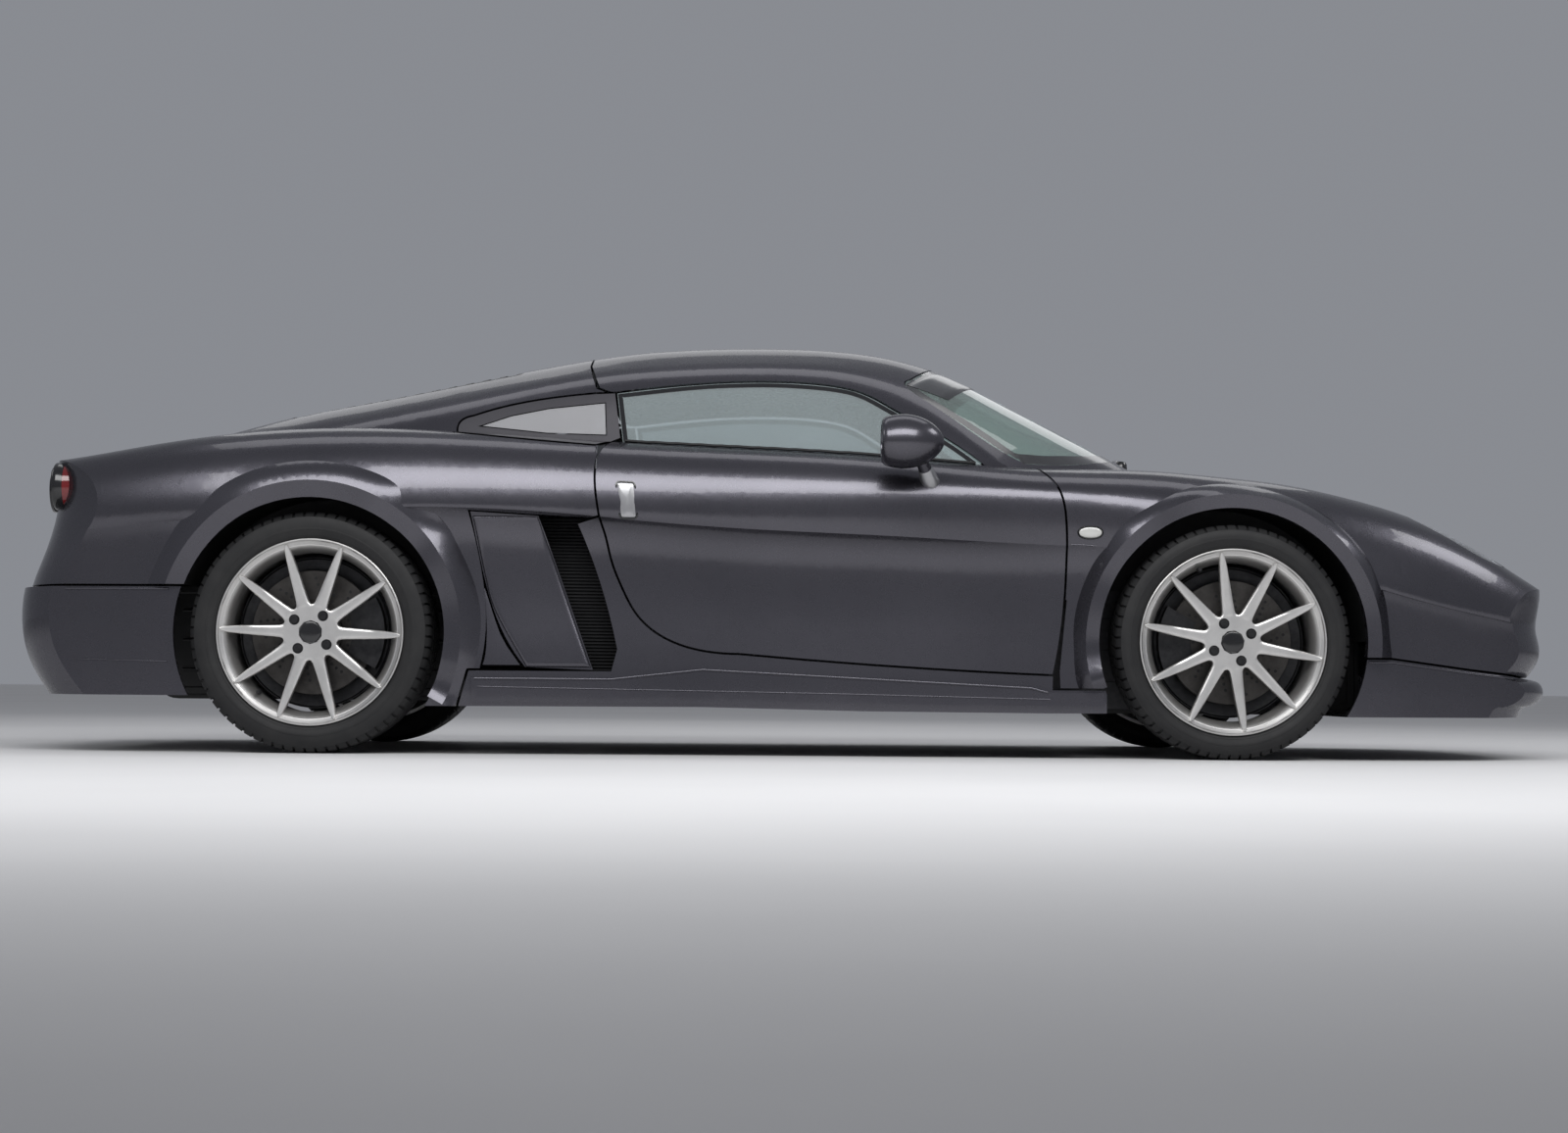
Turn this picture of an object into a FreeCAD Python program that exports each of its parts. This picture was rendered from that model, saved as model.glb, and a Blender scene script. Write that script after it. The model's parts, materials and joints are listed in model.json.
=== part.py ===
import FreeCAD, Part
import math
import os
from FreeCAD import Vector

# Overall size, in millimetres
LENGTH = 4267.0
WIDTH = 1890.0
HEIGHT = 1160.0
WHEELBASE = 2438.0
FRONT_OVERHANG = 961.0
FLARE_RISE = 15.0
BODY_BOTTOM = 90.0

# Clearances and wall thicknesses
PANEL_GAP = 6.0
GLASS_GAP = 3.0
SEAT_GAP = 0.3
SKIN = 12.0
ROOF_THICKNESS = 22.0
BUMPER_WALL = 15.0
GLASS_THICKNESS = 5.0
GLASS_DEPTH = 2.5
SCREEN_LAP = 14.0
SCREEN_Z = (600.0, 1300.0)

# Wheels and tyres
TYRE_RADIUS_FRONT = 312.0
TYRE_RADIUS_REAR = 320.0
TYRE_WIDTH_FRONT = 225.0
TYRE_WIDTH_REAR = 255.0
WHEEL_FACE_Y = 905.0
RIM_LIP_RADIUS = 247.0
RIM_SEAT_RADIUS = 229.0
RIM_BARREL_RADIUS = 216.0
ARCH_RADIUS = 355.0
SPOKES = 10
HUB_RADIUS = 78.0
LUGS = 4
LUG_PITCH_RADIUS = 54.0
CAP_RADIUS = 28.0
DISC_RADIUS = 165.0
DISC_THICKNESS = 24.0
KINGPIN_Y = 760.0
STUB_RADIUS = 20.0
RUNNING_CLEARANCE = 0.05
PIN_RADIUS = 9.0
POST_HALF = 95.0
CALIPER_RADIUS = 190.0
LINER_RADIUS = 366.0
LINER_THICKNESS = 4.0
LINER_WALL_RISE = 142.0

# Towing eye socket behind the front bumper
TOW_Y = -250.0
TOW_Z = 195.0
TOW_FACE_X = 2070.0
TOW_BOSS_RADIUS = 18.0
TOW_HOLE_RADIUS = 8.0
TOW_HOLE_DEPTH = 60.0

# Wheel arch flares
FLARE_SECTIONS = 17
FLARE_BULGE = 20.0
FRONT_FLARE_DEPTH = 0.55 * SKIN
REAR_FLARE_DEPTH = 0.4 * SKIN
LIP_OVERLAP = 6.0
FRONT_RIDGE_RADIUS = 391.0
FRONT_CREASE_RADIUS = 420.0
REAR_RIDGE_RADIUS = 400.0
REAR_CREASE_RADIUS = 450.0

# Lamps, grilles and side lamps
LAMP_RIM = 8.0
LAMP_FLANGE = 14.0
LAMP_FLOOR_Z = 470.0
LAMP_COVER = 5.0
LAMP_COVER_DEPTH = 1.5
PROJECTOR_RADIUS = 38.0
PROJECTOR_LENGTH = 60.0
LENS_INSET = 20.0
LENS_DOME = 46.0
LAMP_FLOOR = 6.0
FOOT_HALF = 12.0
LOUVRE_SINK = 2.0
GRILLE_DEPTH = 8.0
GRILLE_FLANGE = 12.0
GRILLE_BAR = 5.0
GRILLE_COLUMNS = 9
FRONT_GRILLE_ROWS = 4
REAR_GRILLE_ROWS = 3
REPEATER_RISE = 4.0
LOUVRE_COUNT = 13
LOUVRE_BAR = 16.0
SILL_STEP = 9.0

MOUTH_HALF = 430.0
MOUTH_LOW = 248.0
MOUTH_HIGH = 344.0
VENT_HALF = 400.0
VENT_LOW = 640.0
VENT_HIGH = 738.0
LAMP_ZONE_Z = (400.0, 900.0)
NOSE_ZONE_X = (1900.0, 2300.0)
TAIL_ZONE_X = (-2300.0, -1850.0)
GREENHOUSE_Z = (700.0, 1300.0)
LINER_GAP = 0.9
LINER_HALF_LENGTH = 500.0
LINER_OUTER_Y = -895.0
FRONT_LINER_INNER_Y = -528.0
REAR_LINER_INNER_Y = -556.0
REAR_LINER_LOW = 446.0

# Chassis tub
TUB_REAR_X = -556.0
TUB_FRONT_X = 790.0
TUB_HALF = 768.0
TUB_SHEET = 20.0
FLOOR_Z = 130.0
SILL_TOP = 430.0
SILL_INNER_Y = 600.0
SILL_CHAMFER = 30.0
FOOT_WELL_X = 950.0
FOOT_WELL_HALF = 520.0
FOOT_WELL_TOP = 640.0
TUNNEL_HALF = 110.0
TUNNEL_TOP_HALF = 90.0
TUNNEL_TOP = 300.0
BULKHEAD_THICKNESS = 22.0
BULKHEAD_GAP = 8.0
REAR_WINDOW_LOW = (430.0, 800.0)
REAR_WINDOW_HIGH = (400.0, 1010.0)
REAR_WINDOW_TOP = 1050.0
REAR_WINDOW_LAP = 11.0

# Subframes, exhaust and controls
RAIL_WIDTH = 60.0
RAIL_LOW = 230.0
RAIL_HIGH = 310.0
FRONT_RAIL_Y = 340.0
REAR_RAIL_Y = 410.0
FRONT_FRAME_X = 1890.0
REAR_FRAME_X = -1900.0
TOWER_HALF = 25.0
ARM_RADIUS = 9.5
PIPE_RADIUS = 38.0
PIPE_WALL = 4.0
PIPE_Z = 215.0
PIPE_Y = (-62.0, 62.0)
PIPE_END_X = -2085.0
SILENCER_X = (-1820.0, -1500.0)
SILENCER_HALF = 300.0
SILENCER_Z = (150.0, 290.0)
HANGER_Y = 215.0
SEAT_INNER_Y = 135.0
SEAT_OUTER_Y = 555.0
DASH_HALF = 704.0
STEERING_AT = (300.0, 350.0, 716.0)
STEERING_TILT = 110.0
STEERING_RADIUS = 165.0
STEERING_GRIP = 14.0
STEERING_SPOKES = 3
COLUMN_RADIUS = 22.0
COLUMN_LENGTH = 128.0
ENGINE_HALF = 330.0
GEARBOX_HALF = 210.0

# Derived places
NOSE_X = LENGTH / 2
TAIL_X = -LENGTH / 2
FRONT_X = NOSE_X - FRONT_OVERHANG
REAR_X = FRONT_X - WHEELBASE
HALF = WIDTH / 2 - FLARE_RISE
FAR = 3000.0


class Guide:
    """A smooth curve through a few chosen points, as a natural cubic spline with straight ends."""

    def __init__(self, points):
        self.xs = [p[0] for p in points]
        self.ys = [p[1] for p in points]
        xs, ys, n = self.xs, self.ys, len(points)
        diagonal = [1.0] * n
        upper = [0.0] * n
        right = [0.0] * n
        lower = [0.0] * n
        for i in range(1, n - 1):
            before = xs[i] - xs[i - 1]
            after = xs[i + 1] - xs[i]
            lower[i] = before
            diagonal[i] = 2 * (before + after)
            upper[i] = after
            right[i] = 6 * ((ys[i + 1] - ys[i]) / after - (ys[i] - ys[i - 1]) / before)
        for i in range(1, n):
            factor = lower[i] / diagonal[i - 1]
            diagonal[i] -= factor * upper[i - 1]
            right[i] -= factor * right[i - 1]
        self.bend = [0.0] * n
        for i in range(n - 2, -1, -1):
            self.bend[i] = (right[i] - upper[i] * self.bend[i + 1]) / diagonal[i]

    def __call__(self, x):
        xs, ys, bend = self.xs, self.ys, self.bend
        if x <= xs[0]:
            step = xs[1] - xs[0]
            return ys[0] + ((ys[1] - ys[0]) / step - step * bend[1] / 6) * (x - xs[0])
        if x >= xs[-1]:
            step = xs[-1] - xs[-2]
            return ys[-1] + ((ys[-1] - ys[-2]) / step + step * bend[-2] / 6) * (x - xs[-1])
        i = max(k for k in range(len(xs) - 1) if xs[k] <= x)
        step = xs[i + 1] - xs[i]
        p = (xs[i + 1] - x) / step
        q = (x - xs[i]) / step
        cubic = (p ** 3 - p) * bend[i] + (q ** 3 - q) * bend[i + 1]
        return p * ys[i] + q * ys[i + 1] + cubic * step * step / 6


# Long guide curves of the lower body: half width, fender crest, deck middle and waist crease
widest = Guide([
    (TAIL_X, HALF - 135), (TAIL_X + 90, HALF - 100), (TAIL_X + 230, HALF - 62),
    (REAR_X - 330, HALF - 22), (REAR_X, HALF), (REAR_X + 450, HALF - 16), (0, HALF - 30),
    (FRONT_X - 450, HALF - 32), (FRONT_X, HALF - 22), (FRONT_X + 330, HALF - 45),
    (FRONT_X + 560, HALF - 92), (FRONT_X + 730, HALF - 150), (NOSE_X - 130, HALF - 205),
    (NOSE_X - 60, HALF - 270), (NOSE_X, HALF - 360)])
widest_z = Guide([
    (TAIL_X, 640), (REAR_X, 690), (0, 680), (FRONT_X, 620), (FRONT_X + 500, 470), (NOSE_X, 380)])
crest_y = Guide([
    (TAIL_X, 690), (REAR_X, 715), (REAR_X + 450, 735), (-400, 752), (200, 760), (640, 735),
    (FRONT_X, 668), (FRONT_X + 500, 590), (NOSE_X - 130, 470), (NOSE_X, 380)])
crest_z = Guide([
    (TAIL_X, 760), (TAIL_X + 190, 787), (REAR_X - 470, 824), (REAR_X - 235, 857),
    (REAR_X, 872), (REAR_X + 300, 868), (REAR_X + 600, 850), (-447, 836), (0, 816),
    (300, 800), (536, 783), (740, 776), (FRONT_X - 180, 775), (FRONT_X, 762),
    (FRONT_X + 220, 737), (FRONT_X + 354, 709), (FRONT_X + 526, 662), (FRONT_X + 620, 626),
    (FRONT_X + 725, 577), (NOSE_X - 155, 530), (NOSE_X - 90, 494), (NOSE_X - 40, 462),
    (NOSE_X + 30, 420)])
middle_z = Guide([
    (TAIL_X, 748), (REAR_X - 470, 780), (REAR_X, 810), (-400, 830), (400, 800), (900, 790),
    (FRONT_X, 735), (FRONT_X + 350, 680), (FRONT_X + 620, 610), (NOSE_X - 170, 560),
    (NOSE_X - 90, 520), (NOSE_X - 40, 485), (NOSE_X + 30, 440)])
crease_z = Guide([
    (TAIL_X, 560), (REAR_X, 640), (-948, 653), (-501, 629), (-216, 607), (243, 587),
    (723, 564), (FRONT_X, 540), (FRONT_X + 500, 430), (NOSE_X, 330)])
undercut = Guide([
    (TAIL_X, 4), (REAR_X - 300, 6), (REAR_X, 12), (REAR_X + 380, 40), (-400, 44),
    (400, 40), (FRONT_X - 420, 24), (FRONT_X, 6), (FRONT_X + 500, 4), (NOSE_X, 2)])

# Long guide curves of the greenhouse: roof middle, roof edge and base
roof_z = Guide([
    (TAIL_X - 60, 780), (TAIL_X + 120, 812), (REAR_X - 358, 893), (REAR_X - 188, 945),
    (REAR_X + 100, 1006), (-880, 1065), (-593, HEIGHT - 40), (-449, HEIGHT - 18),
    (-306, HEIGHT - 6), (-162, HEIGHT - 0.5), (-18, HEIGHT), (126, HEIGHT - 5),
    (269, HEIGHT - 22), (356, HEIGHT - 42), (431, HEIGHT - 66), (600, 1015), (800, 915),
    (949, 836), (1140, 715)])
roof_edge_y = Guide([
    (TAIL_X - 60, 470), (TAIL_X + 260, 480), (REAR_X - 188, 490), (REAR_X + 100, 520),
    (-880, 545), (-593, 560), (0, 578), (270, 585), (400, 622), (600, 690), (800, 660),
    (950, 610), (1140, 540)])
roof_edge_z = Guide([
    (TAIL_X - 60, 740), (TAIL_X + 260, 800), (REAR_X - 188, 860), (REAR_X + 100, 905),
    (-880, 955), (-593, 1008), (-300, 1034), (0, 1040), (200, 1020), (270, 1000),
    (400, 935), (600, 792), (800, 690), (950, 620), (1140, 520)])
cabin_base_y = Guide([
    (TAIL_X - 60, 580), (TAIL_X + 260, 620), (REAR_X - 188, 640), (REAR_X + 100, 690),
    (-880, 735), (-593, 775), (0, 795), (400, 792), (600, 770), (800, 730), (950, 680),
    (1140, 600)])
cabin_base_z = Guide([
    (TAIL_X - 60, 560), (TAIL_X + 260, 640), (-880, 700), (0, 700), (400, 700), (600, 660),
    (800, 600), (950, 540), (1140, 450)])

LOWER_STATIONS = [
    TAIL_X - 60, TAIL_X, TAIL_X + 90, TAIL_X + 230, REAR_X - 470, REAR_X - 235, REAR_X,
    REAR_X + 300, REAR_X + 600, -447, -100, 243, 536, 740, FRONT_X - 200, FRONT_X,
    FRONT_X + 180, FRONT_X + 354, FRONT_X + 526, FRONT_X + 640, FRONT_X + 740,
    NOSE_X - 155, NOSE_X - 90, NOSE_X - 40, NOSE_X + 30]
CABIN_STATIONS = [
    TAIL_X - 60, TAIL_X + 120, REAR_X - 358, REAR_X - 188, REAR_X + 100, -880, -593, -449,
    -300, -160, 0, 126, 269, 356, 431, 515, 600, 700, 800, 880, 949, 1040, 1140]


def moved_in(points, inset):
    """Moves the points of a half section inwards along the local normal."""
    out = []
    for i, (y, z) in enumerate(points):
        if i == 0:
            out.append((y, z - inset))
            continue
        y0, z0 = points[i - 1]
        y1, z1 = points[min(i + 1, len(points) - 1)]
        run = math.hypot(y1 - y0, z1 - z0)
        out.append((y + (z1 - z0) / run * inset, z - (y1 - y0) / run * inset))
    return out


def lower_half(x):
    """Half section of the lower body: deck and shoulder down to the crease, then the flank."""
    yw, zw, yc, zc = widest(x), widest_z(x), crest_y(x), crest_z(x)
    zm, zk, cut = middle_z(x), crease_z(x), undercut(x)
    yk = yw - 6
    drop = zk - BODY_BOTTOM
    shell = [
        (0, zm), (0.32 * yc, 0.97 * zm + 0.03 * zc), (0.66 * yc, 0.62 * zm + 0.38 * zc - 2),
        (yc, zc), (yc + 0.42 * (yw - yc), zc - 0.13 * (zc - zw)),
        (yc + 0.80 * (yw - yc), zc - 0.45 * (zc - zw)), (yw, zw), (yk, zk)]
    flank = [
        (yk, zk), (yk - 0.75 * cut, zk - 0.08 * drop), (yk - cut, zk - 0.22 * drop),
        (yk - 0.80 * cut, zk - 0.50 * drop), (yk - 0.55 * cut, BODY_BOTTOM)]
    return shell, flank


def cabin_half(x):
    """Half section of the greenhouse from the roof middle down to its base inside the body."""
    zt, ye, ze = roof_z(x), roof_edge_y(x), roof_edge_z(x)
    yb, zb = cabin_base_y(x), cabin_base_z(x)
    points = [(0.0, zt)]
    for share in (0.30, 0.55, 0.78):
        points.append((ye * share, zt - (zt - ze) * share ** 2.5))
    points.append((ye, ze))
    points.append((ye + 0.36 * (yb - ye) + 8, ze + 0.36 * (zb - ze) + 6))
    points.append((ye + 0.70 * (yb - ye) + 6, ze + 0.70 * (zb - ze) + 4))
    points.append((yb, zb))
    return points


def shares(points):
    """Spline parameters that follow the length along the points."""
    out = [0.0]
    for (y0, z0), (y1, z1) in zip(points, points[1:]):
        out.append(out[-1] + math.hypot(y1 - y0, z1 - z0))
    return [value / out[-1] for value in out]


def both_sides(values):
    return [-value for value in reversed(values)] + values[1:]


SHELL_SHARES = both_sides(shares(lower_half(0)[0]))
FLANK_SHARES = shares(lower_half(0)[1])
CABIN_SHARES = both_sides(shares(cabin_half(0)))


def smooth(points):
    curve = Part.BSplineCurve()
    curve.interpolate(points)
    return curve.toShape()


def spline_edge(points, parameters):
    curve = Part.BSplineCurve()
    curve.interpolate(Points=points, Parameters=parameters)
    return curve.toShape()


def lower_wire(x, inset):
    shell, flank = lower_half(x)
    whole = moved_in(shell + flank[1:], inset)
    shell, flank = whole[:len(shell)], whole[len(shell) - 1:]
    if inset > 0:
        flank[-1] = (flank[-1][0], BODY_BOTTOM - 2 * inset)
    right = [Vector(x, -y, z) for y, z in flank]
    left = [Vector(x, y, z) for y, z in flank]
    top = [Vector(x, -y, z) for y, z in reversed(shell)] + [Vector(x, y, z) for y, z in shell[1:]]
    return Part.Wire([
        spline_edge(right, FLANK_SHARES), spline_edge(top, SHELL_SHARES),
        spline_edge(left, FLANK_SHARES), Part.makeLine(left[-1], right[-1])])


def cabin_wire(x, inset):
    points = moved_in(cabin_half(x), inset)
    top = [Vector(x, -y, z) for y, z in reversed(points)] + [Vector(x, y, z) for y, z in points[1:]]
    return Part.Wire([spline_edge(top, CABIN_SHARES), Part.makeLine(top[-1], top[0])])


def lower_body(inset):
    return Part.makeLoft([lower_wire(x, inset) for x in LOWER_STATIONS], True)


def greenhouse(inset):
    return Part.makeLoft([cabin_wire(x, inset) for x in CABIN_STATIONS], True)


def placed(axis, point, level):
    a, b = point
    if axis == "X":
        return Vector(level, a, b)
    if axis == "Y":
        return Vector(a, level, b)
    return Vector(a, b, level)


def outline(axis, runs, level):
    """Closed wire: a list of points is a smooth curve, a tuple of points is a straight run."""
    edges = []
    for run in runs:
        points = [placed(axis, p, level) for p in run]
        if isinstance(run, list):
            edges.append(smooth(points))
        else:
            edges += [Part.makeLine(p, q) for p, q in zip(points, points[1:])]
    return Part.Wire(edges)


def grown(wire, distance):
    """Outline moved out all round, drawn again with plain lines and curves that join end to end."""
    edges = []
    last = None
    for edge in wire.makeOffset2D(distance).OrderedEdges:
        count = 2 if isinstance(edge.Curve, Part.Line) else max(6, int(edge.Length / 30))
        points = edge.discretize(Number=count)
        if edge.Orientation == "Reversed":
            points.reverse()
        if last is None:
            first = points[0]
        else:
            points[0] = last
        last = points[-1]
        edges.append(points)
    edges[-1][-1] = first
    drawn = []
    for points in edges:
        if len(points) == 2:
            drawn.append(Part.makeLine(points[0], points[1]))
        else:
            drawn.append(smooth(points))
    return Part.Wire(drawn)


def loop_moved(points, distance):
    """A closed smooth outline moved outwards (or inwards if negative) along its normals."""
    ring = points[:-1]
    area = sum(a[0] * b[1] - b[0] * a[1] for a, b in zip(points, points[1:]))
    sign = distance if area > 0 else -distance
    out = []
    for i, (a, b) in enumerate(ring):
        before, after = ring[i - 1], ring[(i + 1) % len(ring)]
        run = math.hypot(after[0] - before[0], after[1] - before[1])
        out.append((a + sign * (after[1] - before[1]) / run, b - sign * (after[0] - before[0]) / run))
    return out + out[:1]


def loop_prism(axis, points, low, high, grow=0.0):
    return prism(axis, [loop_moved(points, grow)] if grow else [points], low, high)


def prism(axis, runs, low, high, grow=0.0):
    """Solid swept along one axis from a closed outline, which may be grown all round first."""
    wire = outline(axis, runs, low)
    if grow:
        wire = grown(wire, grow)
    return Part.Face(wire).extrude(placed(axis, (0, 0), high - low))


def box(x0, x1, y0, y1, z0, z1):
    return Part.makeBox(x1 - x0, y1 - y0, z1 - z0, Vector(x0, y0, z0))


def tube_along_y(radius, y0, y1, x, z, bore=0.0):
    body = Part.makeCylinder(radius, y1 - y0, Vector(x, y0, z), Vector(0, 1, 0))
    if bore:
        body = body.cut(Part.makeCylinder(bore, y1 - y0, Vector(x, y0, z), Vector(0, 1, 0)))
    return body


def along_x(radius, x0, x1, y, z):
    return Part.makeCylinder(radius, x1 - x0, Vector(x0, y, z), Vector(1, 0, 0))


def rod(start, end, radius):
    a, b = Vector(*start), Vector(*end)
    return Part.makeCylinder(radius, (b - a).Length, a, b - a)


def mirrored(shape):
    return shape.mirror(Vector(0, 0, 0), Vector(0, 1, 0))


def pair(shape):
    return Part.makeCompound([shape, mirrored(shape)])


def fused(shapes):
    first, rest = shapes[0], shapes[1:]
    return first.fuse(rest) if rest else first


def end_cutter(plan, profile, levels, sign):
    """Block beyond a curved end face: a plan curve moved along X by a profile over the height."""
    wires = []
    for z in levels:
        points = [Vector(x + profile(z), y, z) for x, y in plan]
        back = sign * FAR
        corners = [points[-1], Vector(back, points[-1].y, z), Vector(back, points[0].y, z), points[0]]
        lines = [Part.makeLine(p, q) for p, q in zip(corners, corners[1:])]
        wires.append(Part.Wire([smooth(points)] + lines))
    return Part.makeLoft(wires, True)


# Plan curves of nose and tail, mirrored about the middle
NOSE_PLAN = [(NOSE_X, 0), (NOSE_X - 6, 200), (NOSE_X - 30, 400), (NOSE_X - 80, 600),
             (NOSE_X - 150, 725), (NOSE_X - 235, 830), (NOSE_X - 355, 930), (NOSE_X - 500, 1000)]
TAIL_PLAN = [(TAIL_X, 0), (TAIL_X + 6, 300), (TAIL_X + 38, 600), (TAIL_X + 95, 750),
             (TAIL_X + 183, 860), (TAIL_X + 320, 970)]


def full_plan(half):
    return [(x, -y) for x, y in reversed(half)] + half[1:]


NOSE_LEVELS = [60, 230, 360, 440, 490, 560, 650, 800]
nose_shift = Guide([(60, -50), (230, -40), (360, -19), (440, -8), (490, -10), (560, -55), (650, -150), (800, -330)])
TAIL_LEVELS = [400, 446, 520, 646, 740, 800, 900]
tail_shift = Guide([(400, 20), (446, 28), (520, 55), (646, 92), (740, 99), (800, 92), (900, 110)])
LIP_LEVELS = [60, 120, 146, 176, 196, 213, 240, 300]
lip_shift = Guide([(60, -75), (120, -65), (146, -34), (176, 0), (196, 0), (213, -14), (240, -40), (300, -60)])
BUMPER_LEVELS = [60, 151, 253, 361, 432, 480]
bumper_shift = Guide([(60, 110), (151, 78), (253, 20), (361, 0), (432, 6), (480, 20)])

nose_cut = end_cutter(full_plan(NOSE_PLAN), nose_shift, NOSE_LEVELS, 1)
tail_cut = end_cutter(full_plan(TAIL_PLAN), tail_shift, TAIL_LEVELS, -1)
nose_cut_inner = end_cutter(full_plan(NOSE_PLAN), lambda z: nose_shift(z) - SKIN, NOSE_LEVELS, 1)
tail_cut_inner = end_cutter(full_plan(TAIL_PLAN), lambda z: tail_shift(z) + SKIN, TAIL_LEVELS, -1)
lip_cut = end_cutter(full_plan(NOSE_PLAN), lip_shift, LIP_LEVELS, 1)
bumper_cut = end_cutter(full_plan(TAIL_PLAN), bumper_shift, BUMPER_LEVELS, -1)

lower_out = lower_body(0.0)
cabin_out = greenhouse(0.0)
body_out = lower_out.fuse(cabin_out)
lower_in = lower_body(SKIN)
body_in = lower_in.fuse(greenhouse(SKIN))

# Side outlines, as seen from the right with the nose towards +X
DOOR_OUTLINE = [
    [(-452, 850), (-500, 819), (-515, 758), (-513, 703), (-507, 661), (-501, 629), (-488, 587),
     (-471, 518), (-444, 450), (-399, 371), (-345, 324), (-266, 290), (-134, 274)],
    [(-134, 274), (245, 246), (697, 224)],
    [(697, 224), (724, 398), (730, 537), (727, 629), (713, 703), (692, 740)],
    ((692, 740), (640, 800), (640, 950), (-452, 950), (-452, 850))]
QUARTER_OUTLINE = [
    [(-537, 982), (-670, 967), (-758, 951), (-868, 919)],
    [(-868, 919), (-907, 895), (-906, 868)],
    [(-906, 868), (-669, 843), (-522, 831)],
    ((-522, 831), (-462, 856), (-481, 984), (-537, 982))]
QUARTER_GLASS = [
    ((-505, 958), (-660, 942), (-765, 921), (-855, 890), (-665, 868), (-498, 862), (-505, 958)),]
SKIRT_OUTLINE = [
    ((-872, 128), (-846, 222), (-470, 222), (-455, 281)),
    [(-455, 281), (-500, 450), (-562, 612)],
    ((-562, 612), (-506, 629), (-300, 629), (-300, 300), (700, 300), (697, 181), (840, 181),
     (840, 121), (693, 120), (194, 122), (-227, 130), (-872, 128))]
DOOR_GLASS_OUTLINE = [
    [(-475, 984), (-287, 1006), (-153, 1015), (-19, 1016), (116, 1006), (197, 986), (283, 938),
     (423, 855), (536, 772)],
    ((536, 772), (536, 700), (-454, 700), (-454, 845), (-475, 984))]
FRONT_CLAM_OUTLINE = [
    ((718, 186), (716, 230), (726, 330), (735, 420), (690, 430), (690, 740), (640, 800), (640, 1300),
     (2300, 1300), (2300, 212), (2013, 226), (1815, 247), (1600, 274), (FRONT_X, 274), (FRONT_X, 186),
     (718, 186))]
FRONT_BUMPER_OUTLINE = [
    ((FRONT_X, 116), (FRONT_X, 268), (1600, 268), (1815, 241), (2013, 220), (2300, 206),
     (2300, 116), (FRONT_X, 116))]
REAR_CLAM_OUTLINE = [
    ((-562, 1300), (-562, 1077), (-534, 999), (-490, 981), (-458, 860), (-458, 626),
     (-600, 632), (-852, 646)),
    [(-852, 646), (-812, 458), (-803, 330), (-819, 222)],
    ((-819, 222), (-852, 222), (-879, 128), (REAR_X, 128), (REAR_X, 444), (-2300, 444),
     (-2300, 1300), (-562, 1300))]
REAR_BUMPER_OUTLINE = [
    ((REAR_X, 151), (REAR_X, 438), (-2300, 438), (-2300, 151), (REAR_X, 151))]
CABIN_OUTLINE = [
    ((-556, 1300), (-556, 1078), (-524, 1002), (-478, 984), (-452, 850), (-452, 836),
     (536, 776), (640, 760), (640, 640), (1200, 640), (1200, 1300), (-556, 1300))]
COWL_PLAN = [
    [(620, -735), (700, -690), (800, -585), (900, -440), (970, -260), (1005, 0),
     (970, 260), (900, 440), (800, 585), (700, 690), (620, 735)],
    ((620, 735), (600, 1000), (-1000, 1000), (-1000, -1000), (600, -1000), (620, -735))]
SCREEN_PLAN = [
    [(412, 0), (395, -250), (330, -470)],
    [(330, -470), (318, -535), (400, -597), (590, -660), (640, -655)],
    [(640, -655), (745, -560), (850, -420), (920, -240), (955, 0)],
    [(955, 0), (920, 240), (850, 420), (745, 560), (640, 655)],
    [(640, 655), (590, 660), (400, 597), (318, 535), (330, 470)],
    [(330, 470), (395, 250), (412, 0)]]
DOOR_INNER = [
    ((-1000, 60), (-776, 60), (-776, 440), (-712, 560), (-712, 1100), (-1000, 1100), (-1000, 60))]
BLADE_OUTLINE = [
    ((-846, 642.2), (-667, 632.3), (-519, 226), (-697, 232)),
    [(-697, 232), (-782, 380), (-812, 480), (-846, 642.2)]]
HEADLAMP_PLAN = [
    (1962, -575), (1915, -505), (1840, -478), (1760, -488), (1700, -545), (1692, -600),
    (1722, -648), (1790, -684), (1860, -694), (1925, -655), (1962, -575)]
PROJECTORS = ((1798.0, -588.0, 556.0), (1864.0, -592.0, 512.0))
LOUVRE_PLAN = [
    ((-1420, -235), (-1420, 235)), [(-1420, 235), (-1410, 258), (-1385, 268)],
    ((-1385, 268), (-800, 318)), [(-800, 318), (-768, 312), (-756, 285)],
    ((-756, 285), (-756, -285)), [(-756, -285), (-768, -312), (-800, -318)],
    ((-800, -318), (-1385, -268)), [(-1385, -268), (-1410, -258), (-1420, -235)]]
LOUVRE_ENDS = (-1404.0, -772.0)
LOUVRE_HALF = (228.0, 278.0)
REPEATER_OUTLINE = [
    (761, 598), (768, 609), (794, 615), (820, 610), (826, 599), (819, 588), (794, 582),
    (768, 587), (761, 598)]
SILL_STEP_OUTLINE = [
    ((-838, 205), (-470, 205), (-228, 232), (100, 216), (640, 190), (690, 176), (833, 176), (833, 140),
     (-838, 140), (-838, 205))]
BLADE_DEPTH = 4.0
BLADE_THICKNESS = 14.0
MIRROR_Y = 955.0
MIRROR_Z = 832.0
MIRROR_POD = ((256, 80, 66), (285, 86, 71), (330, 80, 67), (368, 60, 50), (392, 34, 28), (402, 12, 10))
TAIL_LAMPS = ((690.0, TAIL_X + 158), (540.0, TAIL_X + 118))
TAIL_LAMP_Z = 712.0
TAIL_LAMP_RADIUS = 60.0
TAIL_LAMP_DEPTH = 70.0
TAIL_LAMP_DOME = 150.0
TAIL_LAMP_BULGE = 18.0
DOOR_REAR_STEP = 40.0
DOOR_SHELL = 28.0

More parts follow.
